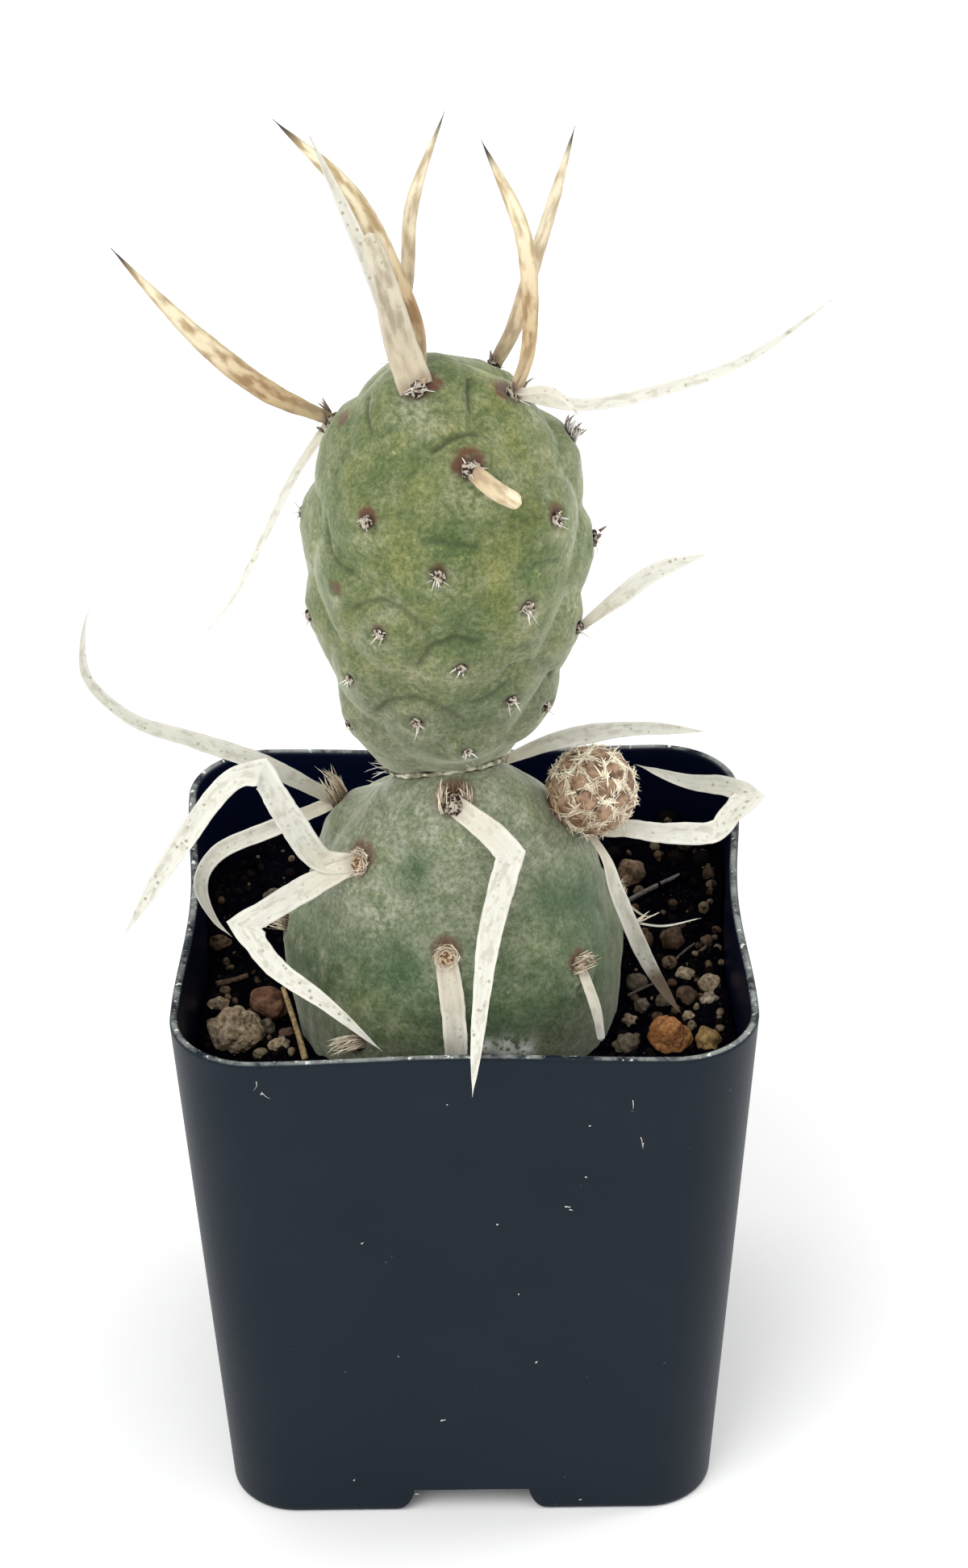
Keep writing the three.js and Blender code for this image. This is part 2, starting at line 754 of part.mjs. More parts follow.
// The young offset on the right shoulder: a ball of small pointed tubercles
function ballSolid(grow) {
  const cells = [];
  const count = 46;
  for (let k = 0; k < count; k += 1) {
    const height = 1 - 2 * (k + 0.5) / count;
    const turn = k * Math.PI * (3 - Math.sqrt(5));
    const round = Math.sqrt(1 - height ** 2);
    cells.push(new THREE.Vector3(round * Math.cos(turn), round * Math.sin(turn), height));
  }
  const rows = 13;
  const around = 26;
  const rings = [];
  for (let row = 1; row < rows; row += 1) {
    const polar = Math.PI * (1 - row / rows);
    const ring = [];
    for (let k = 0; k < around; k += 1) {
      const angle = k / around * 2 * Math.PI;
      const way = new THREE.Vector3().setFromSphericalCoords(1, polar, angle);
      way.set(way.z, way.x, way.y);
      const nearest = Math.min(...cells.map((cell) => cell.distanceTo(way)));
      const bump = Math.max(0, 1 - (nearest / 0.3) ** 2);
      ring.push(BALL_CENTRE.clone().addScaledVector(way, BALL_RADIUS * (0.94 + 0.1 * bump) + grow));
    }
    rings.push(ring);
  }
  return solid(skin(rings));
}

// Soil: the inside of the pot up to a gently uneven top

function soilHeight(x, y) {
  const waves = Math.sin(x * 0.31 + 1.2) * Math.cos(y * 0.27 - 0.4) + 0.6 * Math.sin(x * 0.73 - y * 0.62);
  const rise = 0.02 * x - 0.012 * y;
  return SOIL_LEVEL + rise + SOIL_RELIEF * waves;
}

function soilSolid() {
  const cells = 14;
  const half = POT_TOP / 2 + 1;
  const top = [];
  for (let row = 0; row <= cells; row += 1) {
    const line = [];
    for (let k = 0; k <= cells; k += 1) {
      const x = -half + 2 * half * k / cells;
      const y = -half + 2 * half * row / cells;
      line.push(new THREE.Vector3(x, y, soilHeight(x, y)));
    }
    top.push(line);
  }
  const floor = top.map((line) => line.map((p) => p.clone().setZ(-1)));
  const points = [...top.flat(), ...floor.flat()];
  const wide = cells + 1;
  const under = wide * wide;
  const faces = [];
  const quad = (a, b, c, d) => faces.push(a, b, c, a, c, d);
  for (let row = 0; row < cells; row += 1) {
    for (let k = 0; k < cells; k += 1) {
      const a = row * wide + k;
      quad(a, a + 1, a + wide + 1, a + wide);
      quad(under + a, under + a + wide, under + a + wide + 1, under + a + 1);
    }
  }
  for (let k = 0; k < cells; k += 1) {
    const last = cells * wide;
    quad(k + 1, k, under + k, under + k + 1);
    quad(last + k, last + k + 1, under + last + k + 1, under + last + k);
    quad(k * wide, (k + 1) * wide, under + (k + 1) * wide, under + k * wide);
    quad((k + 1) * wide + cells, k * wide + cells, under + k * wide + cells, under + (k + 1) * wide + cells);
  }
  const block = new THREE.BufferGeometry().setFromPoints(points);
  block.setIndex(faces);
  const inside = potSpace(POT_WALL + GAP, POT_WALL + GAP, POT_HEIGHT - 2);
  return inside.intersect(solid(block));
}

// The plain hole that the lower segment stands in, a little wider than its widest mound
function rootHole() {
  const { profile, depth, mound } = lower;
  const wide = mound + 2 * GAP;
  const buried = profile.filter(([, z]) => z < SOIL_LEVEL + 8);
  const outline = [new THREE.Vector2(0, profile[0][1] - GAP)];
  for (const [r, z] of buried) outline.push(new THREE.Vector2(r + wide, z === profile[0][1] ? z - GAP : z));
  outline.push(new THREE.Vector2(0, buried.at(-1)[1]));
  const hole = new THREE.LatheGeometry(outline, 28);
  hole.rotateX(Math.PI / 2);
  hole.scale(1, depth, 1);
  hole.translate(centreAt(lower.lean, SOIL_LEVEL), PLANT_Y, 0);
  return solid(hole);
}

// Stones: [name, x, y, length, depth, height, turn in degrees, colour]
const CREAM = 0xb9a98a;
const GREY = 0x77716a;
const BROWN = 0x7a5c44;
const stones = [
  ['pumice_big', -25.5, -13.6, 6, 5, 5, 20, CREAM],
  ['pumice_red', -22, -7.4, 4.2, 3.6, 3.8, -15, 0x8a5038],
  ['grit_grey', -22.1, -10.8, 1.8, 1.7, 1.8, 0, GREY],
  ['grit_left_brown', -19.95, -12.2, 1.7, 1.8, 1.7, 30, BROWN],
  ['pumice_left_small', -27.6, -7.2, 2.4, 1.8, 1.5, 10, CREAM],
  ['pumice_left_front', -20.6, -15, 2.5, 1.8, 1.5, 15, CREAM],
  ['lump_orange', 22.5, -17.2, 4.3, 4.4, 4.8, 10, 0xa5643a],
  ['lump_yellow', 26.8, -16.4, 2.8, 2.7, 2.8, 0, 0xa48546],
  ['pumice_right_cream', 27.6, -5.2, 2.6, 2.4, 2.4, -30, CREAM],
  ['pumice_right_white', 27.3, -9, 2, 1.8, 1.8, 40, 0xc9bfae],
  ['pumice_right_flat', 24.8, -3.8, 2.2, 1.6, 1.4, 0, CREAM],
  ['grit_right_grey', 19.3, -4.4, 2.2, 2, 2, 0, GREY],
  ['lump_right_brown', 19.3, 17.4, 3.3, 3, 4, -20, BROWN],
  ['grit_right_near', 17.8, -16.6, 3, 2.4, 2.4, 25, GREY],
  ['grit_right_dim', 23.6, 2.8, 2.6, 2.5, 2.6, 0, BROWN],
  ['grit_right_wall', 27.6, 3.8, 1.4, 1.6, 1.7, 0, BROWN],
  ['grit_back_right', 28.4, 17.4, 1.4, 1.6, 1.7, 0, BROWN],
  ['pumice_back', -8, 20, 3, 2.4, 2.2, 60, CREAM],
  ['grit_back_left', -22, 16, 2.6, 2.2, 1.8, 0, GREY],
  ['lump_back_brown', 6, 24, 3.2, 2.6, 2.4, 35, BROWN],
  ['grit_right_behind', 20.4, 2.9, 1.9, 2, 2.2, 0, BROWN],
  ['grit_right_round', 19.7, -9.1, 1.7, 1.7, 1.7, 0, GREY],
  ['pumice_right_round', 18.2, -12.2, 1.6, 1.6, 1.5, 0, CREAM],
  ['grit_right_dark', 24.8, -7.3, 2.6, 2.2, 2.2, 0, BROWN],
  ['grit_right_middle', 22.1, -8.2, 1.8, 1.6, 1.7, 0, GREY],
  ['pumice_right_small', 24.9, -11.4, 1.4, 1.3, 1.3, 0, CREAM],
];

// A lumpy stone, as a solid grown by grow on every side
function stoneSolid([, x, y, long, deep, high, turn], seed, grow) {
  const random = seeded(seed * 97 + 11);
  const waves = Array.from({ length: 4 }, () => [random(), random(), random(), random()]);
  const shape = new THREE.IcosahedronGeometry(1, long > 2.8 ? 1 : 0);
  const place = shape.attributes.position;
  for (let k = 0; k < place.count; k += 1) {
    const p = new THREE.Vector3().fromBufferAttribute(place, k);
    let size = 1;
    for (const [a, b, c, d] of waves) {
      size += 0.07 * Math.sin(3 * (a - 0.5) * p.x * 4 + 3 * (b - 0.5) * p.y * 4 + c * 5 * p.z + d * 6.3);
    }
    place.setXYZ(k, p.x * size, p.y * size, p.z * size);
  }
  shape.scale(long / 2 + grow, deep / 2 + grow, high / 2 + grow);
  shape.rotateZ(THREE.MathUtils.degToRad(turn));
  shape.translate(x, y, soilHeight(x, y) + high * 0.22);
  return solid(shape);
}

// A thin stick between two points, grown by grow
function stick(from, to, thick, grow) {
  const start = new THREE.Vector3(...from);
  const end = new THREE.Vector3(...to);
  const way = end.clone().sub(start);
  const bar = new THREE.CylinderGeometry(thick / 2 + grow, thick / 2 + grow, way.length() + 2 * grow, 6);
  bar.applyQuaternion(new THREE.Quaternion().setFromUnitVectors(new THREE.Vector3(0, 1, 0), way.normalize()));
  const middle = start.lerp(end, 0.5);
  bar.translate(middle.x, middle.y, middle.z);
  return solid(bar);
}

const sticks = [
  ['twig_left', [-28.1, -3.3, 57.3], [-24.6, -1.8, 57.4], 0.7, 0x6b5138],
  ['straw_left', [-17.7, -18.6, 57.7], [-20.1, -10, 61.4], 0.7, 0xa88f5e],
  ['twig_right', [24.9, -1.5, 57.7], [27.5, 2, 57.9], 0.6, 0x5d4630],
  ['twig_right_back', [18.6, 12, 57.5], [25.1, 17.2, 57.7], 0.6, 0x6a625c],
];

// Put the pieces together

const potMaterial = finish(0x2b3036, 0.5);
const soilMaterial = finish(0x16130f, 0.95);
const upperGreen = finish(0x6f7f4c, 0.6);
const lowerGreen = finish(0x66755a, 0.65);
const paper = finish(0xd8cfbd, 0.75);
const brown = finish(0x8a6a48, 0.8);

const outer = potSpace(0, 0, POT_HEIGHT);
const hollow = potSpace(POT_WALL, POT_WALL, POT_HEIGHT + 1);
addPiece('pot', outer.subtract(hollow).subtract(drainHoles()), potMaterial);

const lowerClear = segmentSolid(lower, AROUND, GAP);
const upperClear = segmentSolid(upper, AROUND, GAP);
const lowerAndBallClear = lowerClear.add(ballSolid(GAP));
const lowerBody = segmentSolid(lower, AROUND, 0);
const upperBody = segmentSolid(upper, AROUND, 0);

let soil = soilSolid().subtract(rootHole());
stones.forEach((stone, k) => {
  soil = soil.subtract(stoneSolid(stone, k + 1, GAP));
  addPiece(stone[0], stoneSolid(stone, k + 1, 0), finish(stone[7], 0.9));
});
for (const [name, from, to, thick, colour] of sticks) {
  soil = soil.subtract(stick(from, to, thick, GAP));
  addPiece(name, stick(from, to, thick, 0), finish(colour, 0.85));
}
addPiece('soil', soil, soilMaterial);

addSprays(upper, 'upper', upperClear, paper);
addSprays(lower, 'lower', lowerAndBallClear, paper);
addPiece('upper_segment', withTufts(upper, upperBody, seeded(3)), upperGreen);
addPiece('lower_segment', withTufts(lower, lowerBody, seeded(4)), lowerGreen);
addPiece('young_offset', ballSolid(0).subtract(lowerClear), brown);

export default group;
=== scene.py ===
# %% [markdown]
# # A paper spine cactus in its nursery pot
#
# This lesson dresses a small potted cactus. Its solids, at their real size, come from the packed
# frame, and every surface that the eye meets is made again here as a finer one in the same place:
# the moulded pot, the gritty soil, the stones, the two stem segments with their woolly areoles, the
# flat papery ribbons and the brown young offset. Shapes are worked out in millimetres with numpy and
# put into meshes in metres.

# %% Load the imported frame
import math

import bpy
import numpy as np
from mathutils import Matrix


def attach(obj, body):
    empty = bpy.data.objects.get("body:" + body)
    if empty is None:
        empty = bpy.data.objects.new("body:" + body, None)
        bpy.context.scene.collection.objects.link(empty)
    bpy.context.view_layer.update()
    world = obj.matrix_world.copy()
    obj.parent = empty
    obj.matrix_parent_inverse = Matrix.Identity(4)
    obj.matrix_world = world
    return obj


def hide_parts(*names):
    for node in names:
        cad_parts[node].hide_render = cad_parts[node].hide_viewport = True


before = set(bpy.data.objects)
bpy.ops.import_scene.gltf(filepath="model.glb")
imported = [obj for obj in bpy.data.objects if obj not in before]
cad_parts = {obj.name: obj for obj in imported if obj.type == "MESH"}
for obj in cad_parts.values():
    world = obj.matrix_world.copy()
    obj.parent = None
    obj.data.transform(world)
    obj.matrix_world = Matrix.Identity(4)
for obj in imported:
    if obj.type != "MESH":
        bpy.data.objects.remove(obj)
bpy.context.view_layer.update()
print("nodes in the frame:", len(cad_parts))

# %% [markdown]
# ## The camera
#
# A lens is easiest to match when its place is written as a distance and three angles round the
# object. These values make the pot's rim, corners and feet fall where the photograph has them: the
# camera looks down by about 32 degrees from a little over half a metre away, with a long lens.

# %% Place the camera
MM = 0.001  # a millimetre in the scene's metres
CAMERA_ELEVATION = math.radians(32.462)
CAMERA_AZIMUTH = math.radians(-0.13)
CAMERA_ROLL = math.radians(-0.769)
CAMERA_DISTANCE = 569.0
CAMERA_ASIDE = 1.49
CAMERA_RAISED = 68.79
LENS = 108.95
SENSOR = 36.0


def camera_axes():
    """Forward, right and up of the camera: the horizontal view turned by azimuth, tipped down by
    elevation, then rolled about the forward axis."""
    ca, sa = math.cos(CAMERA_AZIMUTH), math.sin(CAMERA_AZIMUTH)
    ce, se = math.cos(CAMERA_ELEVATION), math.sin(CAMERA_ELEVATION)
    forward = np.array([sa * ce, ca * ce, -se])
    right = np.array([ca, -sa, 0.0])
    up = np.cross(right, forward)
    cr, sr = math.cos(CAMERA_ROLL), math.sin(CAMERA_ROLL)
    return forward, cr * right + sr * up, cr * up - sr * right


def put(name, data):
    """A new object that shows the data, linked to the scene."""
    made = bpy.data.objects.new(name, data)
    bpy.context.scene.collection.objects.link(made)
    return made


def stand(made, x, y, z, place):
    """Set an object's own axes and its place: they are the columns of its matrix."""
    rows = zip(np.stack([x, y, z], 1), place)
    made.matrix_world = Matrix([(*row, shift) for row, shift in rows] + [(0, 0, 0, 1)])


def place_camera():
    """The camera stands back along its own forward axis, from the origin shifted right and up."""
    forward, right, up = camera_axes()
    place = (right * CAMERA_ASIDE + up * CAMERA_RAISED - forward * CAMERA_DISTANCE) * MM
    data = bpy.data.cameras.new("camera")
    data.sensor_fit = "VERTICAL"
    data.sensor_height = SENSOR
    data.lens = LENS
    camera = put("camera", data)
    stand(camera, right, up, -forward, place)
    bpy.context.scene.camera = camera
    return place


print("camera at", np.round(place_camera(), 3))

# %% [markdown]
# ## Floor and light
#
# A pale floor under soft light from all sides turns to plain white, as in a product picture. One
# large lamp high on the left gives the forms a side in shade and lays a faint shadow to the right of
# the pot, and a narrower one on the right draws the thin highlight along the pot's rim.

# %% Floor, world and lamps
FLOOR_WHITE, FLOOR_ROUGHNESS, FLOOR_HALF = (0.97, 0.97, 0.97, 1), 0.85, 3.0
WORLD_STRENGTH = 1.0
# Each lamp: its place, its target, its size and its power, in metres and watts
LAMPS = {
    "key": ((-0.3, -0.45, 0.62), (0, 0, 0.08), 0.5, 3.0),
    "rim_glint": ((0.55, 0.1, 0.35), (0.02, 0, 0.06), 0.16, 1.0),
}


def flat_floor():
    """A square plane at height zero, far larger than the view."""
    half = FLOOR_HALF
    mesh = bpy.data.meshes.new("floor")
    corners = [(-half, -half, 0), (half, -half, 0), (half, half, 0), (-half, half, 0)]
    mesh.from_pydata(corners, [], [(0, 1, 2, 3)])
    floor = put("floor", mesh)
    material = bpy.data.materials.new("pale_floor")
    material.use_nodes = True
    shader = material.node_tree.nodes["Principled BSDF"]
    shader.inputs["Base Color"].default_value = FLOOR_WHITE
    shader.inputs["Roughness"].default_value = FLOOR_ROUGHNESS
    mesh.materials.append(material)


def lamp(name, place, target, size, power):
    """A square area lamp at place, turned so that it faces target."""
    data = bpy.data.lights.new(name, "AREA")
    data.shape = "SQUARE"
    data.size = size
    data.energy = power
    back = np.array(place, float) - np.array(target, float)
    back /= np.linalg.norm(back)
    side = np.cross((0, 0, 1), back)
    side /= np.linalg.norm(side)
    stand(put(name, data), side, np.cross(back, side), back, place)


def soft_world():
    """An even white sky."""
    world = bpy.data.worlds.new("white_sky")
    world.use_nodes = True
    sky = world.node_tree.nodes["Background"]
    sky.inputs["Color"].default_value = (1, 1, 1, 1)
    sky.inputs["Strength"].default_value = WORLD_STRENGTH
    bpy.context.scene.world = world


flat_floor()
soft_world()
for name, values in LAMPS.items():
    lamp(name, *values)
bpy.context.scene.view_settings.view_transform = "Standard"

# %% [markdown]
# ## Small tools for surfaces
#
# Most pieces are a grid: one parameter runs round or across, the other along. A grid is a numpy array
# of shape (rows, columns, 3). One function turns it into faces, and another also closes it with a fan
# of triangles at each end. Several such parts can be gathered in one mesh, each with its own material,
# and each carries named values per point for the materials to read.

# %% Grids, parts and pieces
TRIANGLES = {}


def turn_steps(count):
    """Even angles round a full turn."""
    return np.arange(count) / count * 2 * math.pi


def grid_faces(rows, columns, around=True):
    """Quads between neighbouring rows and columns, wrapping round the columns where around is set.
    Their order is such that rows going up and columns going counter-clockwise face outwards."""
    row = np.arange(rows - 1)[:, None] * columns
    last = columns if around else columns - 1
    column = np.arange(last)[None, :]
    after = (column + 1) % columns
    quads = np.stack([row + column, row + after, row + columns + after, row + columns + column], -1)
    return quads.reshape(-1, 4)


def tube_part(grid, material=0, **values):
    """A part from a grid that is closed round its columns: its two ends get a middle point and a fan.
    Each named value is one number, or an array that matches the grid's rows and columns."""
    rows, columns = grid.shape[:2]
    ends = np.stack([grid[0].mean(0), grid[-1].mean(0)])
    points = np.concatenate([grid.reshape(-1, 3), ends])
    hub = rows * columns
    k = np.arange(columns)
    after = (k + 1) % columns
    low = np.stack([after, k, np.full(columns, hub)], -1)
    start = hub - columns
    high = np.stack([start + k, start + after, np.full(columns, hub + 1)], -1)
    full = {}
    for name, value in values.items():
        spread = np.broadcast_to(np.asarray(value, float), (rows, columns))
        full[name] = np.concatenate([spread.ravel(), [spread[0].mean(), spread[-1].mean()]])
    return {"points": points, "quads": grid_faces(rows, columns), "tris": np.concatenate([low, high]),
            "material": material, "values": full}


def build_piece(name, parts, materials, nodes=()):
    """One mesh object from parts given in millimetres, riding on the root body."""
    parts = [{"material": 0, "values": {}, **part} for part in parts]
    value_names = sorted({key for part in parts for key in part["values"]})
    points, corners, counts, kinds = [], [], [], []
    values = {key: [] for key in value_names}
    start = 0
    for part in parts:
        count = len(part["points"])
        points.append(part["points"])
        for faces in (part.get("quads"), part.get("tris")):
            if faces is not None and len(faces):
                corners.append((faces + start).ravel())
                counts.append(np.full(len(faces), faces.shape[1]))
                kinds.append(np.full(len(faces), part["material"]))
        for key in value_names:
            values[key].append(np.broadcast_to(part["values"].get(key, 0.0), (count,)))
        start += count
    corners, counts = np.concatenate(corners), np.concatenate(counts)
    mesh = bpy.data.meshes.new(name)
    mesh.vertices.add(start)
    mesh.vertices.foreach_set("co", (np.concatenate(points) * MM).astype(np.float32).ravel())
    mesh.loops.add(len(corners))
    mesh.loops.foreach_set("vertex_index", corners.astype(np.int32))
    mesh.polygons.add(len(counts))
    starts = np.concatenate([[0], np.cumsum(counts)[:-1]])
    mesh.polygons.foreach_set("loop_start", starts.astype(np.int32))
    mesh.polygons.foreach_set("material_index", np.concatenate(kinds).astype(np.int32))
    mesh.update(calc_edges=True)
    mesh.validate()
    mesh.polygons.foreach_set("use_smooth", np.ones(len(mesh.polygons), bool))
    for key in value_names:
        layer = mesh.attributes.new(key, "FLOAT", "POINT")
        layer.data.foreach_set("value", np.concatenate(values[key]).astype(np.float32))
    for material in materials:
        mesh.materials.append(material)
    piece = put(name, mesh)
    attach(piece, "root")
    if nodes:
        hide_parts(*nodes)
    TRIANGLES[name] = int((counts - 2).sum())
    return piece


print("tools for grids ready")

# %% [markdown]
# ### Noise
#
# Roughness of every size comes from one kind of noise: random values on a cubic lattice, blended
# smoothly between its corners. The values come from a hash of the lattice place, so they are the same
# on every run.

# %% Value noise
CELL_PRIMES, SEED_PRIME = np.array([374761393, 668265263, 1440662683]), 1274126177
STIR_PRIMES = ((15, 2246822519), (13, 3266489917))
WORD = 2 ** 32


def lattice_value(cell, seed):
    """A fixed random number from 0 to 1 for each integer cell: its three numbers times large primes
    are added up and stirred by shifts and products, all modulo two to the power of 32."""
    h = ((cell.astype(np.int64) * CELL_PRIMES).sum(-1) + seed * SEED_PRIME) % WORD
    for shift, prime in STIR_PRIMES:
        h = ((h ^ (h >> shift)) * prime) & (WORD - 1)
    return (h ^ (h >> 16)) / WORD


def noise(points, size, seed=0):
    """Smooth noise from -1 to 1 at points, with bumps about size across."""
    scaled = points / size + 1000.0
    cell = np.floor(scaled)
    share = scaled - cell
    blend = share * share * (3 - 2 * share)
    total = 0.0
    for corner in np.ndindex(2, 2, 2):
        offset = np.array(corner)
        weight = np.prod(np.where(offset == 1, blend, 1 - blend), -1)
        total = total + weight * lattice_value(cell + offset, seed)
    return 2 * total - 1


def rough(points, size, octaves, seed=0):
    """Noise in octaves: each is half the size and half the height of the one before."""
    return sum(noise(points, size / 2 ** k, seed + 7 * k) / 2 ** k for k in range(octaves))


def smoothstep(low, high, value):
    """0 below low, 1 above high, and a smooth ramp between them."""
    share = np.clip((value - low) / (high - low), 0, 1)
    return share * share * (3 - 2 * share)


def bell(distance, width):
    """A bell: the exponential of minus the square of distance over width, 1 in its middle."""
    return np.exp(-(distance / width) ** 2)


def unit(vectors):
    """Vectors of length one."""
    return vectors / np.linalg.norm(vectors, axis=-1, keepdims=True)


print("noise runs from", noise(np.random.default_rng(1).uniform(-9, 9, (9999, 3)), 1.5).min().round(2))

# %% [markdown]
# ### Materials
#
# A material here is a short function that builds shader nodes. A few helpers keep that readable: one
# adds a node and fills or links its inputs, and the others mix colours, multiply, make noise and
# bumps, and fetch either a value stored on the points or the place on the object.

# %% Helpers for shader nodes
def node(tree, kind, inputs=None, **settings):
    """Add a shader node, set its options, and fill each input with a value or link it to a socket."""
    made = tree.nodes.new("ShaderNode" + kind)
    for key, value in settings.items():
        setattr(made, key, value)
    for key, value in (inputs or {}).items():
        if isinstance(value, bpy.types.NodeSocket):
            tree.links.new(value, made.inputs[key])
        else:
            made.inputs[key].default_value = value
    return made


def opaque(tone):
    """A socket as it is, or three linear numbers with full opacity after them."""
    return tone if isinstance(tone, bpy.types.NodeSocket) else (*tone, 1.0)


def shade(tone, strength):
    """Three linear numbers, each times the strength."""
    return [strength * c for c in tone]


def blend(tree, factor, first, second, kind="MIX"):
    """Mix two colours by a factor."""
    inputs = {0: factor, 6: opaque(first), 7: opaque(second)}
    return node(tree, "Mix", inputs, data_type="RGBA", blend_type=kind).outputs[2]


def math_node(tree, kind, *numbers):
    """One operation on numbers, with nothing cut off."""
    return node(tree, "Math", dict(enumerate(numbers)), operation=kind).outputs[0]


def times(tree, first, second):
    """The product of two numbers, kept from 0 to 1."""
    return node(tree, "Math", {0: first, 1: second}, operation="MULTIPLY", use_clamp=True).outputs[0]


def lay(tree, base, factor, tone, share=None):
    """A tone over the base where the factor is high, at most by the share where one is given."""
    return blend(tree, factor if share is None else times(tree, factor, share), base, tone)


def stored(tree, name):
    """The value called name that the points carry."""
    return node(tree, "Attribute", attribute_name=name).outputs["Fac"]


def place_on(tree):
    """The place on the object, in metres from the world's origin."""
    return node(tree, "TexCoord").outputs["Object"]


def grain(tree, size, detail=3.0, seed=0.0, rough_by=0.55):
    """Noise whose bumps are about size millimetres across, as a factor round a half."""
    inputs = {"Vector": place_on(tree), "Location": (seed, seed * 0.7, -seed)}
    moved = node(tree, "Mapping", inputs).outputs[0]
    inputs = {"Vector": moved, "Scale": 1 / (size * MM), "Detail": detail, "Roughness": rough_by}
    return node(tree, "TexNoise", inputs).outputs["Fac"]


def between(tree, value, low, high):
    """Stretch a value so that low becomes 0 and high becomes 1, cut off outside them."""
    inputs = {"Value": value, "From Min": low, "From Max": high}
    return node(tree, "MapRange", inputs, interpolation_type="SMOOTHSTEP").outputs["Result"]


def bump(tree, height, depth):
    """A bump whose full height is depth millimetres."""
    inputs = {"Height": height, "Distance": depth * MM, "Strength": 1.0}
    return node(tree, "Bump", inputs).outputs["Normal"]


def new_material(name, roughness, specular, more=None):
    """A material and its node tree, with the values that are the same all over."""
    material = bpy.data.materials.new(name)
    material.use_nodes = True
    values = {"Roughness": roughness, "Specular IOR Level": specular, **(more or {})}
    for key, value in values.items():
        material.node_tree.nodes["Principled BSDF"].inputs[key].default_value = value
    return material, material.node_tree


def paint(material, base, normal=None):
    """Connect the base colour, and the bump if there is one, and hand the material over."""
    tree = material.node_tree
    shader = tree.nodes["Principled BSDF"]
    tree.links.new(base, shader.inputs["Base Color"])
    if normal is not None:
        tree.links.new(normal, shader.inputs["Normal"])
    return material


print("helpers ready")

# %% [markdown]
# ## The pot
#
# The pot is one thin moulded shell. Seen from above it is a square with wide round corners, whose
# sides bow inwards a little towards the rim. So each height of it is the same ring of points, moved
# by a formula, and the whole shell is one grid: up the outside, over the round rim, down the inside
# and across the floor. The cross channel between the feet and the drain holes are cut last, with
# booleans, because they cross the grid.

# %% The pot's rings
POT_TOP, POT_BASE, POT_HEIGHT = 64.0, 55.0, 66.6
POT_WALL = 1.0
CORNER_TOP, CORNER_BASE = 9.4, 7.5
SIDE_BOW, FRONT_BOW = 1.15, 0.9
FOOT_HEIGHT, CHANNEL_WIDTH = 3.3, 14.0
BASE_EDGE = 0.9
CHANNEL_FLARE, KNEE_HEIGHT, ROOF_INSET = 2.4, 0.3, 0.45
DRAIN_RADIUS, DRAIN_REACH, DRAIN_HEIGHTS = 3.0, 15.0, (-1.0, 6.0)
SIDE_STEPS, CORNER_STEPS, CHANNEL_STEPS, DRAIN_SIDES = 40, 20, 8, 32
FOOT_STEPS, OUTER_STEPS, LIP_STEPS, INNER_STEPS = 6, 50, 11, 30


def pot_ring(z, inset):
    """One ring of the pot: for each of the four sides a straight run pulled in by a squared sine,
    then a quarter circle. The half width and the corner's radius grow evenly with height."""
    share = z / POT_HEIGHT
    half = (POT_BASE + (POT_TOP - POT_BASE) * share) / 2 - inset
    radius = CORNER_BASE + (CORNER_TOP - CORNER_BASE) * share - inset
    flat = half - radius
    along = np.arange(SIDE_STEPS) / SIDE_STEPS
    angle = np.arange(CORNER_STEPS) / CORNER_STEPS * math.pi / 2
    sides = []
    for side, bow in enumerate((SIDE_BOW, FRONT_BOW, SIDE_BOW, FRONT_BOW)):
        bowed = half - bow * share * np.sin(math.pi * along) ** 2
        x = np.concatenate([bowed, flat + radius * np.cos(angle)])
        y = np.concatenate([flat * (2 * along - 1), flat + radius * np.sin(angle)])
        turn = side * math.pi / 2
        sides.append(np.stack([x * math.cos(turn) - y * math.sin(turn),
                               x * math.sin(turn) + y * math.cos(turn), np.full(len(x), z)], -1))
    return np.concatenate(sides)


def pot_shell():
    """Rings up the outer wall with a rounded foot, half a circle over the rim, down the inner wall
    to a floor above the channel. The rim value is 1 on the top of the lip, and the value that marks
    the painted shade inside is 1 past it."""
    foot = np.linspace(0, math.pi / 2, FOOT_STEPS)
    levels = [(BASE_EDGE * (1 - math.cos(a)), BASE_EDGE * 0.6 * (1 - math.sin(a))) for a in foot]
    lip = POT_WALL / 2
    levels += [(z, 0.0) for z in np.linspace(2, POT_HEIGHT - lip - 0.2, OUTER_STEPS)]
    over = np.linspace(0, math.pi, LIP_STEPS)
    levels += [(POT_HEIGHT - lip + lip * math.sin(a), lip - lip * math.cos(a)) for a in over]
    levels += [(z, POT_WALL) for z in np.linspace(POT_HEIGHT - 2, FOOT_HEIGHT + POT_WALL, INNER_STEPS)]
    grid = np.stack([pot_ring(z, inset) for z, inset in levels])
    rim = smoothstep(POT_HEIGHT - 0.20, POT_HEIGHT - 0.03, grid[..., 2])
    inside = smoothstep(0.6 * POT_WALL, POT_WALL, np.array(levels)[:, 1:])
    return tube_part(grid, rim=rim, inside=inside)


def cutter(name, points, quads, tris):
    """A closed mesh for a boolean, in metres."""
    mesh = bpy.data.meshes.new(name)
    mesh.from_pydata(points * MM, [], [list(face) for face in quads] + [list(face) for face in tris])
    return put(name, mesh)


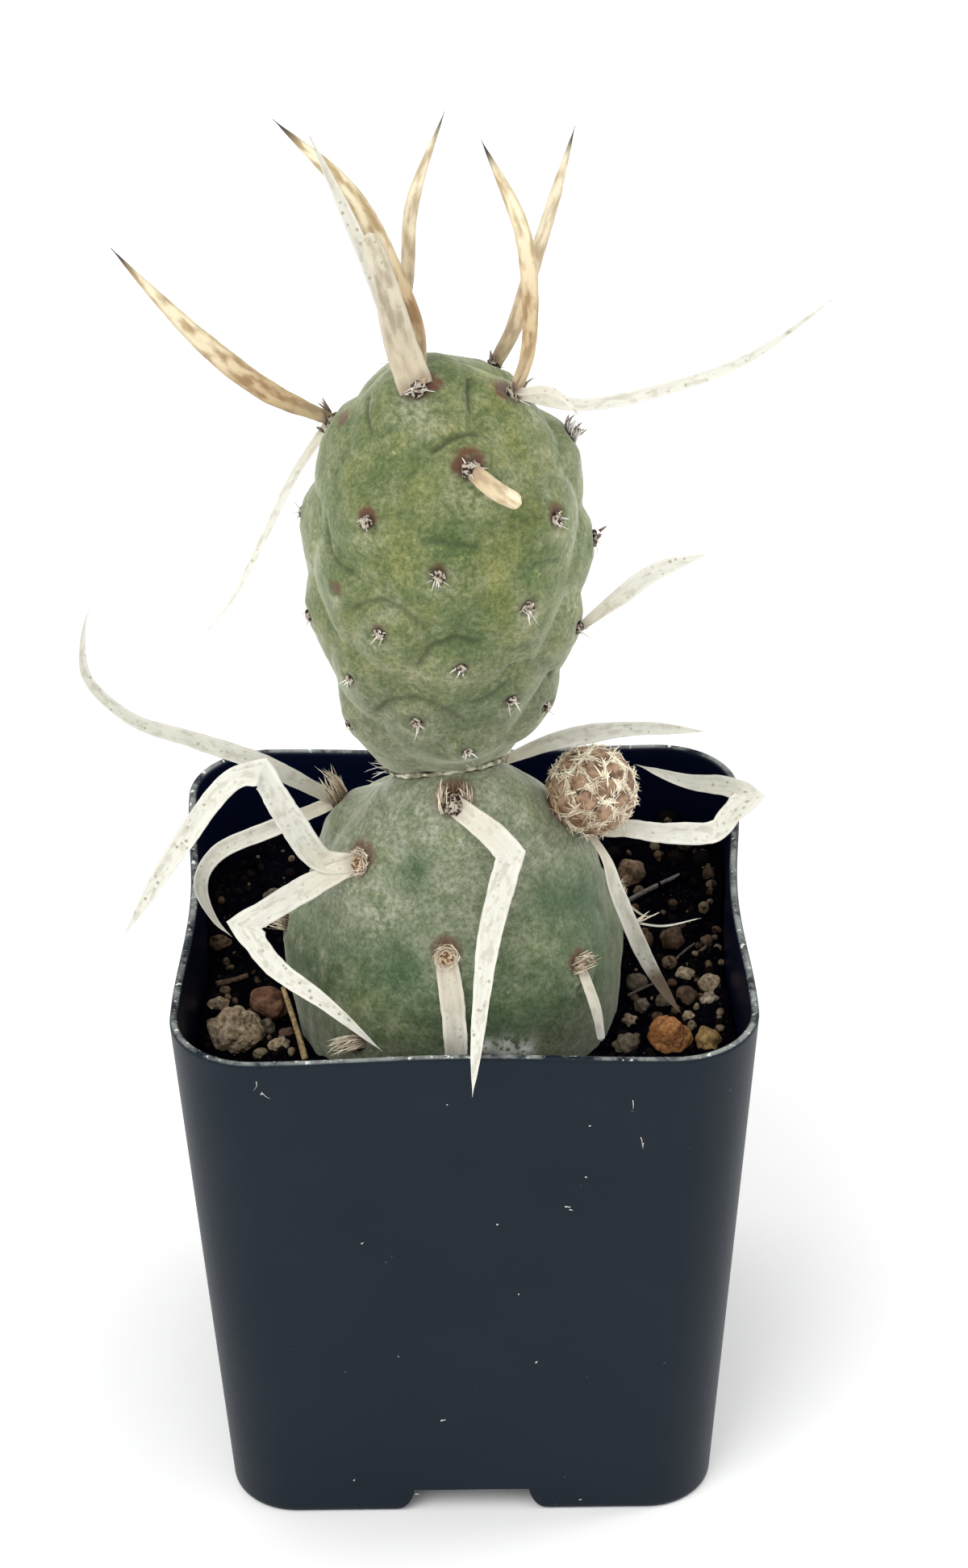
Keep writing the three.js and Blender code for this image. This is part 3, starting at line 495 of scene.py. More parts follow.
def channel_bar(along_x):
    """The channel's section, a flared mouth under a flat roof, carried through the base. Its flank is
    a quadratic curve from mouth to roof that is drawn towards the knee."""
    half = CHANNEL_WIDTH / 2
    wide = half + CHANNEL_FLARE
    curve = np.linspace(0, 1, CHANNEL_STEPS)[:, None]
    mouth, knee, roof = np.array([(wide, 0), (half, KNEE_HEIGHT), (half - ROOF_INSET, FOOT_HEIGHT)])
    flank = (1 - curve) ** 2 * mouth + 2 * curve * (1 - curve) * knee + curve ** 2 * roof
    section = np.concatenate([[[wide, -1]], flank, (flank * [-1, 1])[::-1], [[-wide, -1]]])
    reach = POT_TOP / 2 + 4
    ends = []
    for place in (reach, -reach):
        far = np.full(len(section), place)
        ends.append(np.stack([far, section[:, 0], section[:, 1]] if along_x
                             else [-section[:, 0], far, section[:, 1]], -1))
    part = tube_part(np.stack(ends))
    return cutter("channel", part["points"], part["quads"][:, ::-1], part["tris"][:, ::-1])


def drain(x, y):
    """A round bar through the floor."""
    angle = turn_steps(DRAIN_SIDES)
    ring = np.stack([x + DRAIN_RADIUS * np.cos(angle), y + DRAIN_RADIUS * np.sin(angle)], -1)
    part = tube_part(np.stack([np.column_stack([ring, np.full(DRAIN_SIDES, z)]) for z in DRAIN_HEIGHTS]))
    return cutter("drain", part["points"], part["quads"], part["tris"])


def cut_away(piece, tools):
    """Subtract each tool from the piece for good, and remove the tool."""
    for tool in tools:
        modifier = piece.modifiers.new("cut", "BOOLEAN")
        modifier.operation = "DIFFERENCE"
        modifier.solver = "EXACT"
        modifier.object = tool
        depsgraph = bpy.context.evaluated_depsgraph_get()
        cut = bpy.data.meshes.new_from_object(piece.evaluated_get(depsgraph))
        piece.modifiers.clear()
        piece.data = cut
        bpy.data.objects.remove(tool)


# %% [markdown]
# Black nursery pots are moulded in polypropylene: a dark, slightly blue plastic with a soft sheen.
# The flat walls show a fine orange-peel ripple, a few pale specks and short scratches, and the thin
# rim is scuffed to grey. The ripple is a bump, the specks are the rare high places of a fine noise,
# and the rim reads the value that the lip's points carry.

# %% The pot's plastic
def pot_plastic():
    """Dark plastic with faint clouding, pale specks and a scuffed rim, and painted shade, darker and bluer,
    on its inside.
    """
    material, tree = new_material("pot_plastic", 0.42, 0.11)
    cloud = grain(tree, 14.0, 4.0)
    base = blend(tree, cloud, (0.005, 0.010, 0.017), (0.009, 0.015, 0.022))
    speck = between(tree, grain(tree, 0.7, 1.0, seed=3.0), 0.80, 0.84)
    base = lay(tree, base, speck, (0.20, 0.22, 0.23), 0.4)
    # Painted shade: the inside of the pot is darker and bluer, as it lies in shade.
    base = lay(tree, base, stored(tree, "inside"), (0.0004, 0.0022, 0.013))
    scuffed = between(tree, grain(tree, 3.0, 6.0, seed=8.0, rough_by=0.65), 0.38, 0.62)
    worn = times(tree, stored(tree, "rim"), scuffed)
    base = lay(tree, base, worn, (0.30, 0.32, 0.30), 0.8)
    bright = between(tree, grain(tree, 0.8, 2.0, seed=5.0), 0.62, 0.70)
    base = lay(tree, base, bright, (0.7, 0.72, 0.68), stored(tree, "rim"))
    ripple = grain(tree, 0.9, 2.0, seed=1.0)
    return paint(material, base, bump(tree, ripple, 0.02))


def make_pot():
    """The shell with the cross channel and five drain holes cut out of it."""
    piece = build_piece("pot_shell", [pot_shell()], [pot_plastic()], ["pot"])
    reach = DRAIN_REACH
    drains = [drain(x, y) for x, y in ((0, 0), (reach, 0), (-reach, 0), (0, reach), (0, -reach))]
    cut_away(piece, [channel_bar(True), channel_bar(False)] + drains)
    return len(piece.data.polygons)


print("pot faces:", make_pot())

# %% [markdown]
# ## The two stem segments
#
# Each segment is a smooth profile carried round an axis that leans a little. On the plant every
# segment is covered by low tubercles, each with a woolly areole near its top. They are raised from
# the surface by a formula: round each areole stands a mound, and where the reach of one areole meets
# that of the next there is a crease. Distances are stretched above an areole and shortened below it,
# so the creases arch closely over the areoles.

# %% Curves through points
def even_samples(curve, count):
    """The points at count even steps of length along a densely sampled curve."""
    steps = np.linalg.norm(np.diff(curve, axis=0), axis=1)
    length = np.concatenate([[0], np.cumsum(steps)])
    wanted = np.linspace(0, length[-1], count)
    return np.stack([np.interp(wanted, length, curve[:, axis]) for axis in range(curve.shape[1])], -1)


def curve_through(points, centripetal, per_span=60):
    """A smooth curve through points. Each span is a cubic whose end slopes come from the points on
    either side, weighted by the square root of their spacing where centripetal is set."""
    points = np.asarray(points, float)
    before = 2 * points[0] - points[1] if centripetal else points[0]
    after = 2 * points[-1] - points[-2] if centripetal else points[-1]
    p = np.concatenate([[before], points, [after]])
    t = np.linspace(0, 1, per_span, endpoint=False)[:, None]
    spans = []
    for k in range(len(points) - 1):
        a, b, c, d = p[k:k + 4]
        if centripetal:
            ab, bc, cd = (np.linalg.norm(q - r) ** 0.5 for q, r in ((b, a), (c, b), (d, c)))
            start = ((b - a) / ab - (c - a) / (ab + bc) + (c - b) / bc) * bc
            end = ((c - b) / bc - (d - b) / (bc + cd) + (d - c) / cd) * bc
        else:
            start, end = (c - a) / 2, (d - b) / 2
        spans.append(b + start * t + (3 * (c - b) - 2 * start - end) * t ** 2
                     + (2 * (b - c) + start + end) * t ** 3)
    return np.concatenate(spans + [points[-1:]])


# %% The segments' dimensions
# lean: height and middle; profile: radius and height; areoles: azimuth, height and size of those in
# the photograph; far_rows: height, first azimuth, step and count of those on the far side
PLANT_Y = -8.0
UPPER = {
    "name": "upper",
    "lean": ((89, -1.6), (128, -1.0), (138.6, -2.6)),
    "depth": 0.95,
    "profile": [
        (5.9, 89.25), (7.5, 91), (10.3, 96.8), (12.6, 104), (14.2, 112), (14.4, 119),
        (13.1, 126), (9.6, 132), (5.2, 136.4), (2.4, 138.1), (0, 138.6),
    ],
    "mound": 1.3,
    "crease": 0.15,
    "areoles": [
        (160, 128.8, 1.5), (-108, 136.8, 1.6), (-11, 134.4, 1.4), (46, 133.9, 1.2),
        (118, 133.4, 1.2), (13, 127.5, 1.3), (-75, 130.6, 1.5), (-125, 125.3, 1.1),
        (-39, 124.2, 1.1), (-93, 120.9, 1.1), (172, 119.5, 1), (-1, 117.2, 1.2), (-57, 116, 1.1),
        (-137, 116.8, 0.8), (-117, 113.5, 1), (-84, 109.9, 0.9), (-166, 110.3, 1),
        (-18, 108.9, 1.2), (-136, 106, 0.8), (-60, 104.3, 0.9), (-104, 102.3, 1), (-33, 100.7, 0.9),
        (-153, 97.8, 0.9), (-79, 97.9, 0.8),
    ],
    "far_rows": [
        (127, 60, 50, 2), (120.5, 38, 50, 3), (113, 18, 47, 4), (105.5, 42, 48, 3), (98.5, 20, 46, 4),
    ],
}
LOWER = {
    "name": "lower",
    "lean": ((46, -0.8), (70, -1.0), (80, -0.9), (89, -1.6)),
    "depth": 0.97,
    "profile": [
        (9, 46), (14.5, 48), (17, 53), (18.1, 59), (18.4, 64), (17.6, 70), (15.5, 76),
        (13.7, 80), (11.3, 83.4), (8.8, 86.2), (7, 87.8), (5.9, 88.65),
    ],
    "mound": 1.1,
    "crease": 0.12,
    "areoles": [
        (157, 81, 1.6), (-140, 81.4, 1.7), (-86, 86.1, 1.9), (-93, 74.7, 1.5), (-42, 70.4, 1.3),
        (-124, 63.2, 1.2), (-178, 68.8, 1.2), (14, 68.6, 1.2), (2, 80.4, 1.4), (60, 85, 1.2),
    ],
    "far_rows": [(78, 72, 50, 2), (70, 42, 46, 3), (62, 22, 45, 4)],
}
JOINT_HEIGHT, JOINT_REACH = 88.9, 9.0
JOINT_TILT_X, JOINT_TILT_Y = 0.14, -0.46
MOUND_REACH = 7.0
MOUND_POWER = 1.25
CREASE_WIDTH = 1.8
REACH_ABOVE, REACH_BELOW = 0.75, 1.35


# %% Place the areoles
def centre_x(segment, z):
    """The leaning axis of a segment at height z, straight between the points of its lean."""
    heights, places = zip(*segment["lean"])
    return np.interp(z, heights, places)


def plain_point(segment, r, z, angle):
    """The point of the smooth segment at radius r, height z and azimuth angle. Near the joint of the
    two segments the heights follow the joint's tilted plane."""
    across, deep = r * np.cos(angle), segment["depth"] * r * np.sin(angle)
    near = 1 - smoothstep(0, JOINT_REACH, np.abs(z - JOINT_HEIGHT))
    tilted = z + near * (JOINT_TILT_X * across + JOINT_TILT_Y * deep)
    return np.stack(np.broadcast_arrays(centre_x(segment, z) + across, PLANT_Y + deep, tilted), -1)


def outward(slope, angle):
    """The outward normal of a turned surface from its profile's slope."""
    return np.stack(np.broadcast_arrays(slope[..., 1] * np.cos(angle), slope[..., 1] * np.sin(angle),
                                        -slope[..., 0]), -1)


def prepare(segment, rows):
    """Sample the profile evenly, and work out each areole's place, rise, normal and size."""
    far = [(first + step * k, z, 1.0)
           for z, first, step, count in segment["far_rows"] for k in range(count)]
    azimuth, z, size = np.array(segment["areoles"] + far, float).T
    profile = even_samples(curve_through(segment["profile"], False), rows)
    slope = unit(np.gradient(profile, axis=0))
    angle = np.radians(azimuth)
    r = np.interp(z, profile[:, 1], profile[:, 0])
    tilt = unit(np.stack([np.interp(z, profile[:, 1], slope[:, axis]) for axis in range(2)], -1))
    rise = np.stack([tilt[:, 0] * np.cos(angle), tilt[:, 0] * np.sin(angle), tilt[:, 1]], -1)
    segment.update(samples=profile, slopes=slope, size=size, near_count=len(segment["areoles"]),
                   place=plain_point(segment, r, z, angle), rise=rise, normal=outward(tilt, angle))


UPPER_ROWS, LOWER_ROWS, AROUND = 290, 250, 250
prepare(UPPER, UPPER_ROWS)
prepare(LOWER, LOWER_ROWS)
print("areoles:", len(UPPER["size"]), "and", len(LOWER["size"]))


# %% The relief
def nearest_two(segment, points):
    """For each point: the stretched distances to the nearest and second nearest areole, which areole
    is the nearest, and how far above it the point lies."""
    first = np.full(len(points), 1e9)
    second = first.copy()
    which = np.zeros(len(points), int)
    above = np.zeros(len(points))
    for k, (place, rise) in enumerate(zip(segment["place"], segment["rise"])):
        apart = points - place
        along = apart @ rise
        across = np.sqrt(np.maximum((apart ** 2).sum(-1) - along ** 2, 0))
        distance = np.hypot(across, along / np.where(along > 0, REACH_ABOVE, REACH_BELOW))
        closer = distance < first
        second = np.where(closer, first, np.minimum(second, distance))
        which = np.where(closer, k, which)
        above = np.where(closer, along, above)
        first = np.where(closer, distance, first)
    return first, second, which, above


def swelling(segment, first, second):
    """The mound round the nearest areole, less a bell along the crease where two mounds meet."""
    mound = segment["mound"] * (1 - np.minimum(first / MOUND_REACH, 1)) ** MOUND_POWER
    return mound - segment["crease"] * bell(second - first, CREASE_WIDTH)


for segment in (UPPER, LOWER):
    first, second, _, _ = nearest_two(segment, segment["place"])
    segment["seat"] = segment["place"] + segment["normal"] * swelling(segment, first, second)[:, None]

# %% [markdown]
# The solid's relief is broad. The skin adds what is finer than it: narrow folds along the arches
# above the areoles, a pit and a swollen lip round each areole, shallow wrinkles and a slightly
# uneven wax. The fold, the halo round the areoles and the pit are kept as values on the points, so
# that the skin's colour can follow them.

# %% The fine skin
FOLD_WIDTH, FOLD_DEPTH = 0.32, 0.26
PIT_DEPTH, LIP_HEIGHT = 0.45, 0.10
LINE_STEPS, LINE_WIDTH, LINE_FADE, LINE_REACH = 60, 0.30, 9, 9.0
POLE_FADE = 5
# How rusty the skin is above single areoles, and which of them have a fainter pit
RUST = {
    "upper_skin": {
        0: 1, 1: 1, 2: 1, 3: 0.9, 5: 0.6, 6: 1, 7: 0.8, 8: 0.7, 9: 0.5, 11: 0.6, 13: 0.7, 14: 0.5, 17: 0.6,
    },
    "lower_skin": {0: 0.8, 1: 1, 2: 1, 3: 0.9, 4: 0.9, 5: 0.7, 6: 0.6, 8: 1},
}
FAINT_PITS = {"upper_skin": {13: 0.35}, "lower_skin": {}}
# Pale healed places: a place and a reach, as in the lists below
SCARS = {
    "upper_skin": [],
    "lower_skin": [((2.2, -25.6, 64.2), 0.8), ((4.4, -25.1, 63.5), 1.3), ((6.6, -24.3, 62.7), 1.1)],
}
# Fine arched lines in the skin, each through points of an azimuth and a height, and its strength
ARCHES = {"lower_skin": [], "upper_skin": [
    ([(-168, 135.1), (-140, 132.9), (-135, 132.2)], 0.8),
    ([(-24, 137.3), (-51, 136.1), (-61, 134.7)], 1.0),
    ([(-98, 132.2), (-91, 132.6), (-83, 133.2), (-73, 133.5), (-64, 133.4), (-58, 132.9)], 1.0),
    ([(-155, 124.5), (-151, 122.1), (-147, 120.7), (-139, 119.7), (-128, 119.2)], 0.8),
    ([(-133, 113.2), (-129, 115.4), (-124, 116.4), (-118, 117), (-111, 116.8), (-105, 116),
      (-96, 113.8)], 0.7),
    ([(-104, 108.6), (-99, 111.2), (-96, 112.4), (-92, 112.8), (-87, 113.4), (-75, 112.6)], 1.0),
    ([(-103, 124.1), (-93, 124.3), (-84, 123.9), (-74, 123.3)], 0.6),
    ([(-131, 100.7), (-124, 102.6), (-116, 104.4), (-109, 105.1), (-103, 105.3), (-89, 103.6),
      (-80, 101.3)], 0.9),
    ([(-80, 104.2), (-71, 105.3), (-61, 106.9)], 0.9),
    ([(-54, 120.3), (-48, 120.3), (-39, 119.6)], 0.6),
]}
# Patches where the green is deeper and where it is lighter: a place and a reach. The deeper patches
# on the lower segment are painted shade on its shaded side.
DEEP_GREEN_AND_SHADE = {
    "upper_skin": [((-0.6, -20.9, 124.3), 2.4), ((7.4, -19.0, 119.6), 1.8), ((1.0, -21.4, 112.4), 2.6),
                   ((-0.9, -18.6, 99.2), 4.5), ((2.5, -19.2, 103.4), 3.2), ((8.4, -15.4, 101), 4.0),
                   ((-4.5, -17.5, 98), 3.5)],
    "lower_skin": [((7.3, -23.7, 66.4), 3.4), ((13.4, -13.9, 75.7), 3.6), ((-5.3, -19.4, 82.5), 2.2),
                   ((-6.7, -23.4, 72.4), 3.6), ((14.2, -17.2, 68.6), 5.0), ((2.2, -25.4, 66.8), 3.0),
                   ((9.5, -17.5, 77.5), 3.4)],
}
LIGHTER = {
    "upper_skin": [((-3.6, -19.0, 128.7), 2.4), ((4.8, -19.9, 122.6), 3.0), ((-5.5, -20.7, 121.7), 2.2)],
    "lower_skin": [((8.5, -20.6, 74.5), 2.8), ((6.8, -12.7, 87.8), 2.6), ((-11.6, -22.2, 67.0), 3.0)],
}
# Places where the wax is thick and pale. Those at the upper segment's left and right edges are
# also a painted highlight along its edges.
WAX_AND_EDGE_LIGHT = {
    "upper_skin": [((12.5, -13.5, 121), 3.2), ((11.5, -12.4, 129.5), 2.6), ((11.8, -13.8, 112.5), 2.6),
                   ((-14.5, -13, 119), 2.2)],
    "lower_skin": [((-9.5, -20.5, 77.5), 2.6)],
}
# Red-brown cork beside the larger areoles
CORKY = {
    "upper_skin": [((-11.6, -7.7, 131.6), 0.95), ((4.3, -10.0, 135.0), 0.9), ((-2.0, -11.8, 137.2), 0.8),
                   ((0.1, -17.6, 130.9), 0.7), ((2.0, -17.4, 130.7), 0.7)],
    "lower_skin": [],
}
DARK_DOT, DOT_REACH = np.array([9.4, -14.4, 104.4]), 0.42


def arch_lines(segment, name, points):
    """1 on each fine line of the skin, falling off as a bell with the distance from it and towards
    both its ends."""
    value = np.zeros(len(points))
    for stops, strength in ARCHES[name]:
        way = even_samples(curve_through(stops, True), LINE_STEPS)
        radius = np.interp(way[:, 1], segment["samples"][:, 1], segment["samples"][:, 0])
        line = plain_point(segment, radius, way[:, 1], np.radians(way[:, 0]))
        near = np.flatnonzero(np.linalg.norm(points - line.mean(0), axis=1) < LINE_REACH)
        apart = np.linalg.norm(points[near, None] - line[None], axis=2)
        step = apart.argmin(1)
        end = smoothstep(0, LINE_FADE, np.minimum(step, len(line) - 1 - step) + 1)
        value[near] = np.maximum(value[near], strength * end * bell(apart.min(1), LINE_WIDTH))
    return value


def patches(spots, points):
    """The sum of bells round the given places."""
    return sum((bell(np.linalg.norm(points - np.array(spot), axis=-1), reach) for spot, reach in spots),
               np.zeros(len(points)))


def by_areole(segment, which, special, usual):
    """One number for each point, by its nearest areole: a special one where the table has it."""
    return np.array([special.get(k, usual) for k in range(len(segment["size"]))])[which]


def fine_folds(segment, name, flat, nearest, seed):
    """Narrow folds where the reaches of two areoles meet, only above the nearer one and stronger at
    some than at others, and the arched lines."""
    first, second, which, above = nearest
    arch = smoothstep(0.5, 3.0, above) * (0.25 + 0.75 * lattice_value(np.stack([which] * 3, -1), seed))
    fold = arch * bell(second - first, FOLD_WIDTH) * smoothstep(-0.2, 0.25, noise(flat, 6.0, seed + 5))
    return np.maximum(0.45 * fold, arch_lines(segment, name, flat))


def areole_marks(segment, name, flat, which):
    """The pit, lip, cork and wax of each point's areole: bells of the distance from its middle, from a
    ring round it, and from places a little above and below it."""
    size, place, rise = (segment[part][which] for part in ("size", "place", "rise"))
    straight = np.linalg.norm(flat - place, axis=-1)
    pit = by_areole(segment, which, FAINT_PITS[name], 1.0) * bell(straight, 0.85 * size)
    pit += bell(np.linalg.norm(flat - DARK_DOT, axis=-1), DOT_REACH)
    lip = bell(straight - 1.5 * size, 0.55 * size)
    over = np.linalg.norm(flat - place - 0.55 * rise * size[:, None], axis=-1)
    rust = by_areole(segment, which, RUST[name], 0.15)
    halo = np.maximum(bell(over, 1.05 * size) * rust, patches(CORKY[name], flat))
    below = np.linalg.norm(flat - place + 1.3 * rise * size[:, None], axis=-1)
    # Pale wax below each areole and in patches; the patches at the upper segment's edges are also painted
    # light.
    pale = np.maximum(bell(below, 1.5 * size), patches(WAX_AND_EDGE_LIGHT[name], flat))
    return pit, lip, halo, pale


def skin_part(segment, name, seed):
    """The segment's grid with the broad relief, arched folds, areole pits and wrinkles added along
    the smooth normal. Relief fades towards the poles, where the radius is small."""
    samples, slopes = segment["samples"], segment["slopes"]
    if samples[-1, 0] < 0.01:
        samples, slopes = samples[:-1], slopes[:-1]
    angle = turn_steps(AROUND)
    grid = plain_point(segment, samples[:, :1], samples[:, 1:], angle[None, :])
    normal = outward(slopes[:, None, :], angle[None, :])
    flat, shape = grid.reshape(-1, 3), grid.shape[:2]
    bent = flat + 0.5 * np.stack([noise(flat, 5.0, seed + k) for k in range(3)], -1)
    nearest = nearest_two(segment, bent)
    fold = fine_folds(segment, name, flat, nearest, seed)
    pit, lip, halo, pale = areole_marks(segment, name, flat, nearest[2])
    wrinkle = 0.06 * rough(flat, 3.2, 2, seed + 11) + 0.03 * rough(flat, 0.9, 2, seed + 13)
    height = (swelling(segment, *nearest[:2]) - FOLD_DEPTH * fold - PIT_DEPTH * pit + LIP_HEIGHT * lip
              + wrinkle)
    fade = np.minimum(np.repeat(samples[:, 0], AROUND) / POLE_FADE, 1)
    grid = grid + normal * (height * fade).reshape(*shape, 1)
    values = {"fold": fold, "pit": pit, "halo": halo, "pale": pale, "scar": patches(SCARS[name], flat),
              "deeper": patches(DEEP_GREEN_AND_SHADE[name], bent), "lighter": patches(LIGHTER[name], bent)}
    return tube_part(grid, **{key: value.reshape(shape) for key, value in values.items()})


# %% [markdown]
# The skin is a waxy epidermis. Its green is not even: fine pale flecks of wax lie over it, the green
# is purer in some patches and greyer in others, the folds are darker with painted shade, and above the
# larger areoles the skin has turned a corky red-brown. The wax gives it a faint sheen at grazing angles.
# Light and shade are painted in as well: the lower segment is paler at its top, both segments darken
# towards their bottoms, the lower segment has darker patches on its shaded side, and pale wax at the
# upper segment's edges paints their light.

# %% The skin's finish
SKIN_SHEEN = {
    "Sheen Weight": 0.5, "Sheen Roughness": 0.4, "Sheen Tint": (0.8, 0.85, 0.7, 1),
    "Subsurface Weight": 0.08, "Subsurface Radius": (0.9, 1.0, 0.4), "Subsurface Scale": 0.001,
}
# Two sizes of mottling, each with the tones that it multiplies by in its low and its high places
MOTTLING = ((2.2, (0.69, 0.77, 0.61), (1.30, 1.23, 1.36)), (0.5, (0.60, 0.66, 0.55), (1.38, 1.33, 1.40)))
PIT_BROWN_AND_SHADE, HEALED_PALE = (0.032, 0.021, 0.015), (0.66, 0.68, 0.62)


def skin_finish(name, deep, mid, warm, wax, deeper, cork, heights, wax_and_light_share, bottom_shade_heights, seed):
    """Greens by broad and fine noise; paler past the given heights, with wax on the upper skin and painted
    light on the lower skin's top; darker past the second heights, painted shade towards the bottom; folds
    darkened by painted shade, pale wax below the areoles and a red-brown halo above them."""
    material, tree = new_material(name, 0.58, 0.3, SKIN_SHEEN)
    broad = between(tree, grain(tree, 8.0, 3.0, seed=seed), 0.38, 0.64)
    base = blend(tree, broad, deep, mid)
    sunny = between(tree, grain(tree, 6.0, 3.0, seed=seed + 3), 0.50, 0.66)
    base = lay(tree, base, sunny, warm, 0.7)
    height = node(tree, "SeparateXYZ", {0: place_on(tree)}).outputs[2]
    # Paler towards the given heights: wax on the upper skin, painted light on the lower skin's top.
    wax_and_light_by_height = between(tree, height, heights[0] * MM, heights[1] * MM)
    base = lay(tree, base, wax_and_light_by_height, wax, wax_and_light_share)
    clouds = between(tree, grain(tree, 3.2, 6.0, seed=seed + 2, rough_by=0.62), 0.46, 0.74)
    base = lay(tree, base, clouds, wax, 0.55)
    base = lay(tree, base, stored(tree, "lighter"), warm, 0.6)
    # Deeper green patches; on the lower skin they are painted shade on its shaded side.
    base = lay(tree, base, stored(tree, "deeper"), deeper, 0.85)
    # Painted shade: darker towards each segment's bottom.
    shade_towards_bottom = between(tree, height, bottom_shade_heights[0] * MM, bottom_shade_heights[1] * MM)
    base = lay(tree, base, shade_towards_bottom, shade(wax, 0.62), 0.6)
    flecked = between(tree, grain(tree, 0.8, 4.0, seed=seed + 8), 0.35, 0.6)
    waxed = times(tree, stored(tree, "pale"), flecked)
    base = lay(tree, base, waxed, [min(c * 1.45, 0.6) for c in wax], 0.5)
    freckle = between(tree, grain(tree, 0.6, 2.0, seed=seed + 9), 0.62, 0.74)
    base = lay(tree, base, freckle, shade(warm, 1.5), 0.5)
    for size, low, high in MOTTLING:
        mottle = between(tree, grain(tree, size, 7.0, seed=seed + size, rough_by=0.78), 0.36, 0.64)
        base = blend(tree, 1.0, base, blend(tree, mottle, low, high), "MULTIPLY")
    # Painted shade: the folds are darkened.
    base = lay(tree, base, stored(tree, "fold"), shade(deep, 0.35), 0.85)
    patchy = between(tree, grain(tree, 0.9, 3.0, seed=seed + 4), 0.22, 0.5)
    rust = times(tree, between(tree, stored(tree, "halo"), 0.12, 0.62), patchy)
    base = lay(tree, base, rust, cork, 0.9)
    # The pits' near-black brown: painted shade in the recess over brown skin.
    base = lay(tree, base, stored(tree, "pit"), PIT_BROWN_AND_SHADE, 0.9)
    flaky = between(tree, grain(tree, 0.7, 6.0, seed=seed + 6, rough_by=0.7), 0.40, 0.54)
    healed = times(tree, stored(tree, "scar"), flaky)
    base = lay(tree, base, healed, HEALED_PALE)
    dimple = grain(tree, 0.35, 3.0, seed=seed + 5)
    return paint(material, base, bump(tree, dimple, 0.03))


# For each skin: its segment, the seed of its relief and its solid; its greens from deep to warm, wax,
# the deeper green and painted shade patches, and cork; the heights between which it turns paler, by wax
# on the upper skin and by painted light at the lower skin's top, and its share; the heights between which
# painted shade darkens it towards the bottom, and the seed of its colours
SKINS = {
    "upper_skin": (UPPER, 21, "upper_segment",
                   (0.085, 0.118, 0.036), (0.130, 0.155, 0.058), (0.170, 0.180, 0.055),
                   (0.235, 0.240, 0.160), (0.050, 0.092, 0.022), (0.105, 0.030, 0.014),
                   (108, 92), 0.1, (118, 98), 1.0),
    "lower_skin": (LOWER, 57, "lower_segment",
                   (0.046, 0.078, 0.030), (0.092, 0.125, 0.060), (0.135, 0.160, 0.075),
                   (0.240, 0.250, 0.180), (0.038, 0.078, 0.030), (0.105, 0.046, 0.024),
                   (64, 86), 0.6, (70, 60), 7.0),
}
for name, (segment, seed, solid, *tones) in SKINS.items():
    build_piece(name, [skin_part(segment, name, seed)], [skin_finish(name, *tones)], [solid])
print("skins:", *(TRIANGLES[name] for name in SKINS))

# %% [markdown]
# ## The soil
#
# The pot is filled with a dark, gritty mix. Its top is a height field: long waves from the solid and
# several sizes of noise on top of them. The field is a square grid that is stretched to the pot's
# rounded square, so that its cells stay even. A skirt that stays a small gap inside the pot's wall
# and a floor close it.

# %% The soil's surface
SOIL_LEVEL, SOIL_RELIEF = 57.0, 0.6
SOIL_CELLS = 190
SKIRT_ROWS = 6
SOIL_GAP = 0.3


def soil_waves(x, y):
    """The long waves of the solid's top: a product of sines, a finer sine, and a slight slope."""
    waves = np.sin(x * 0.31 + 1.2) * np.cos(y * 0.27 - 0.4) + 0.6 * np.sin(x * 0.73 - y * 0.62)
    return SOIL_LEVEL + 0.02 * x - 0.012 * y + SOIL_RELIEF * waves


def inside_reach(direction, z, inset):
    """How far the pot's ring at height z lies from the axis in each direction, read off the ring."""
    ring = pot_ring(z, inset)[:, :2]
    ring_angle = np.arctan2(ring[:, 1], ring[:, 0])
    order = np.argsort(ring_angle)
    reach = np.linalg.norm(ring, axis=1)[order]
    return np.interp(direction, ring_angle[order], reach, period=2 * math.pi)


def to_pot(a, b, z, inset):
    """Stretch a point of the square from -1 to 1 so that the square's edge meets the pot's ring."""
    angle = np.arctan2(b, a)
    edge = 1 / np.maximum(np.abs(np.cos(angle)), np.abs(np.sin(angle)))
    factor = inside_reach(angle, z, inset) / edge
    return a * factor, b * factor


def soil_top(x, y):
    """The waves with crumbly noise over them: four octaves, and the size of a finer one."""
    flat = np.stack([x, y, np.zeros_like(x)], -1)
    crumbs = 0.55 * rough(flat, 2.6, 4, 91) + 0.25 * np.abs(noise(flat, 0.8, 95))
    return soil_waves(x, y) + crumbs


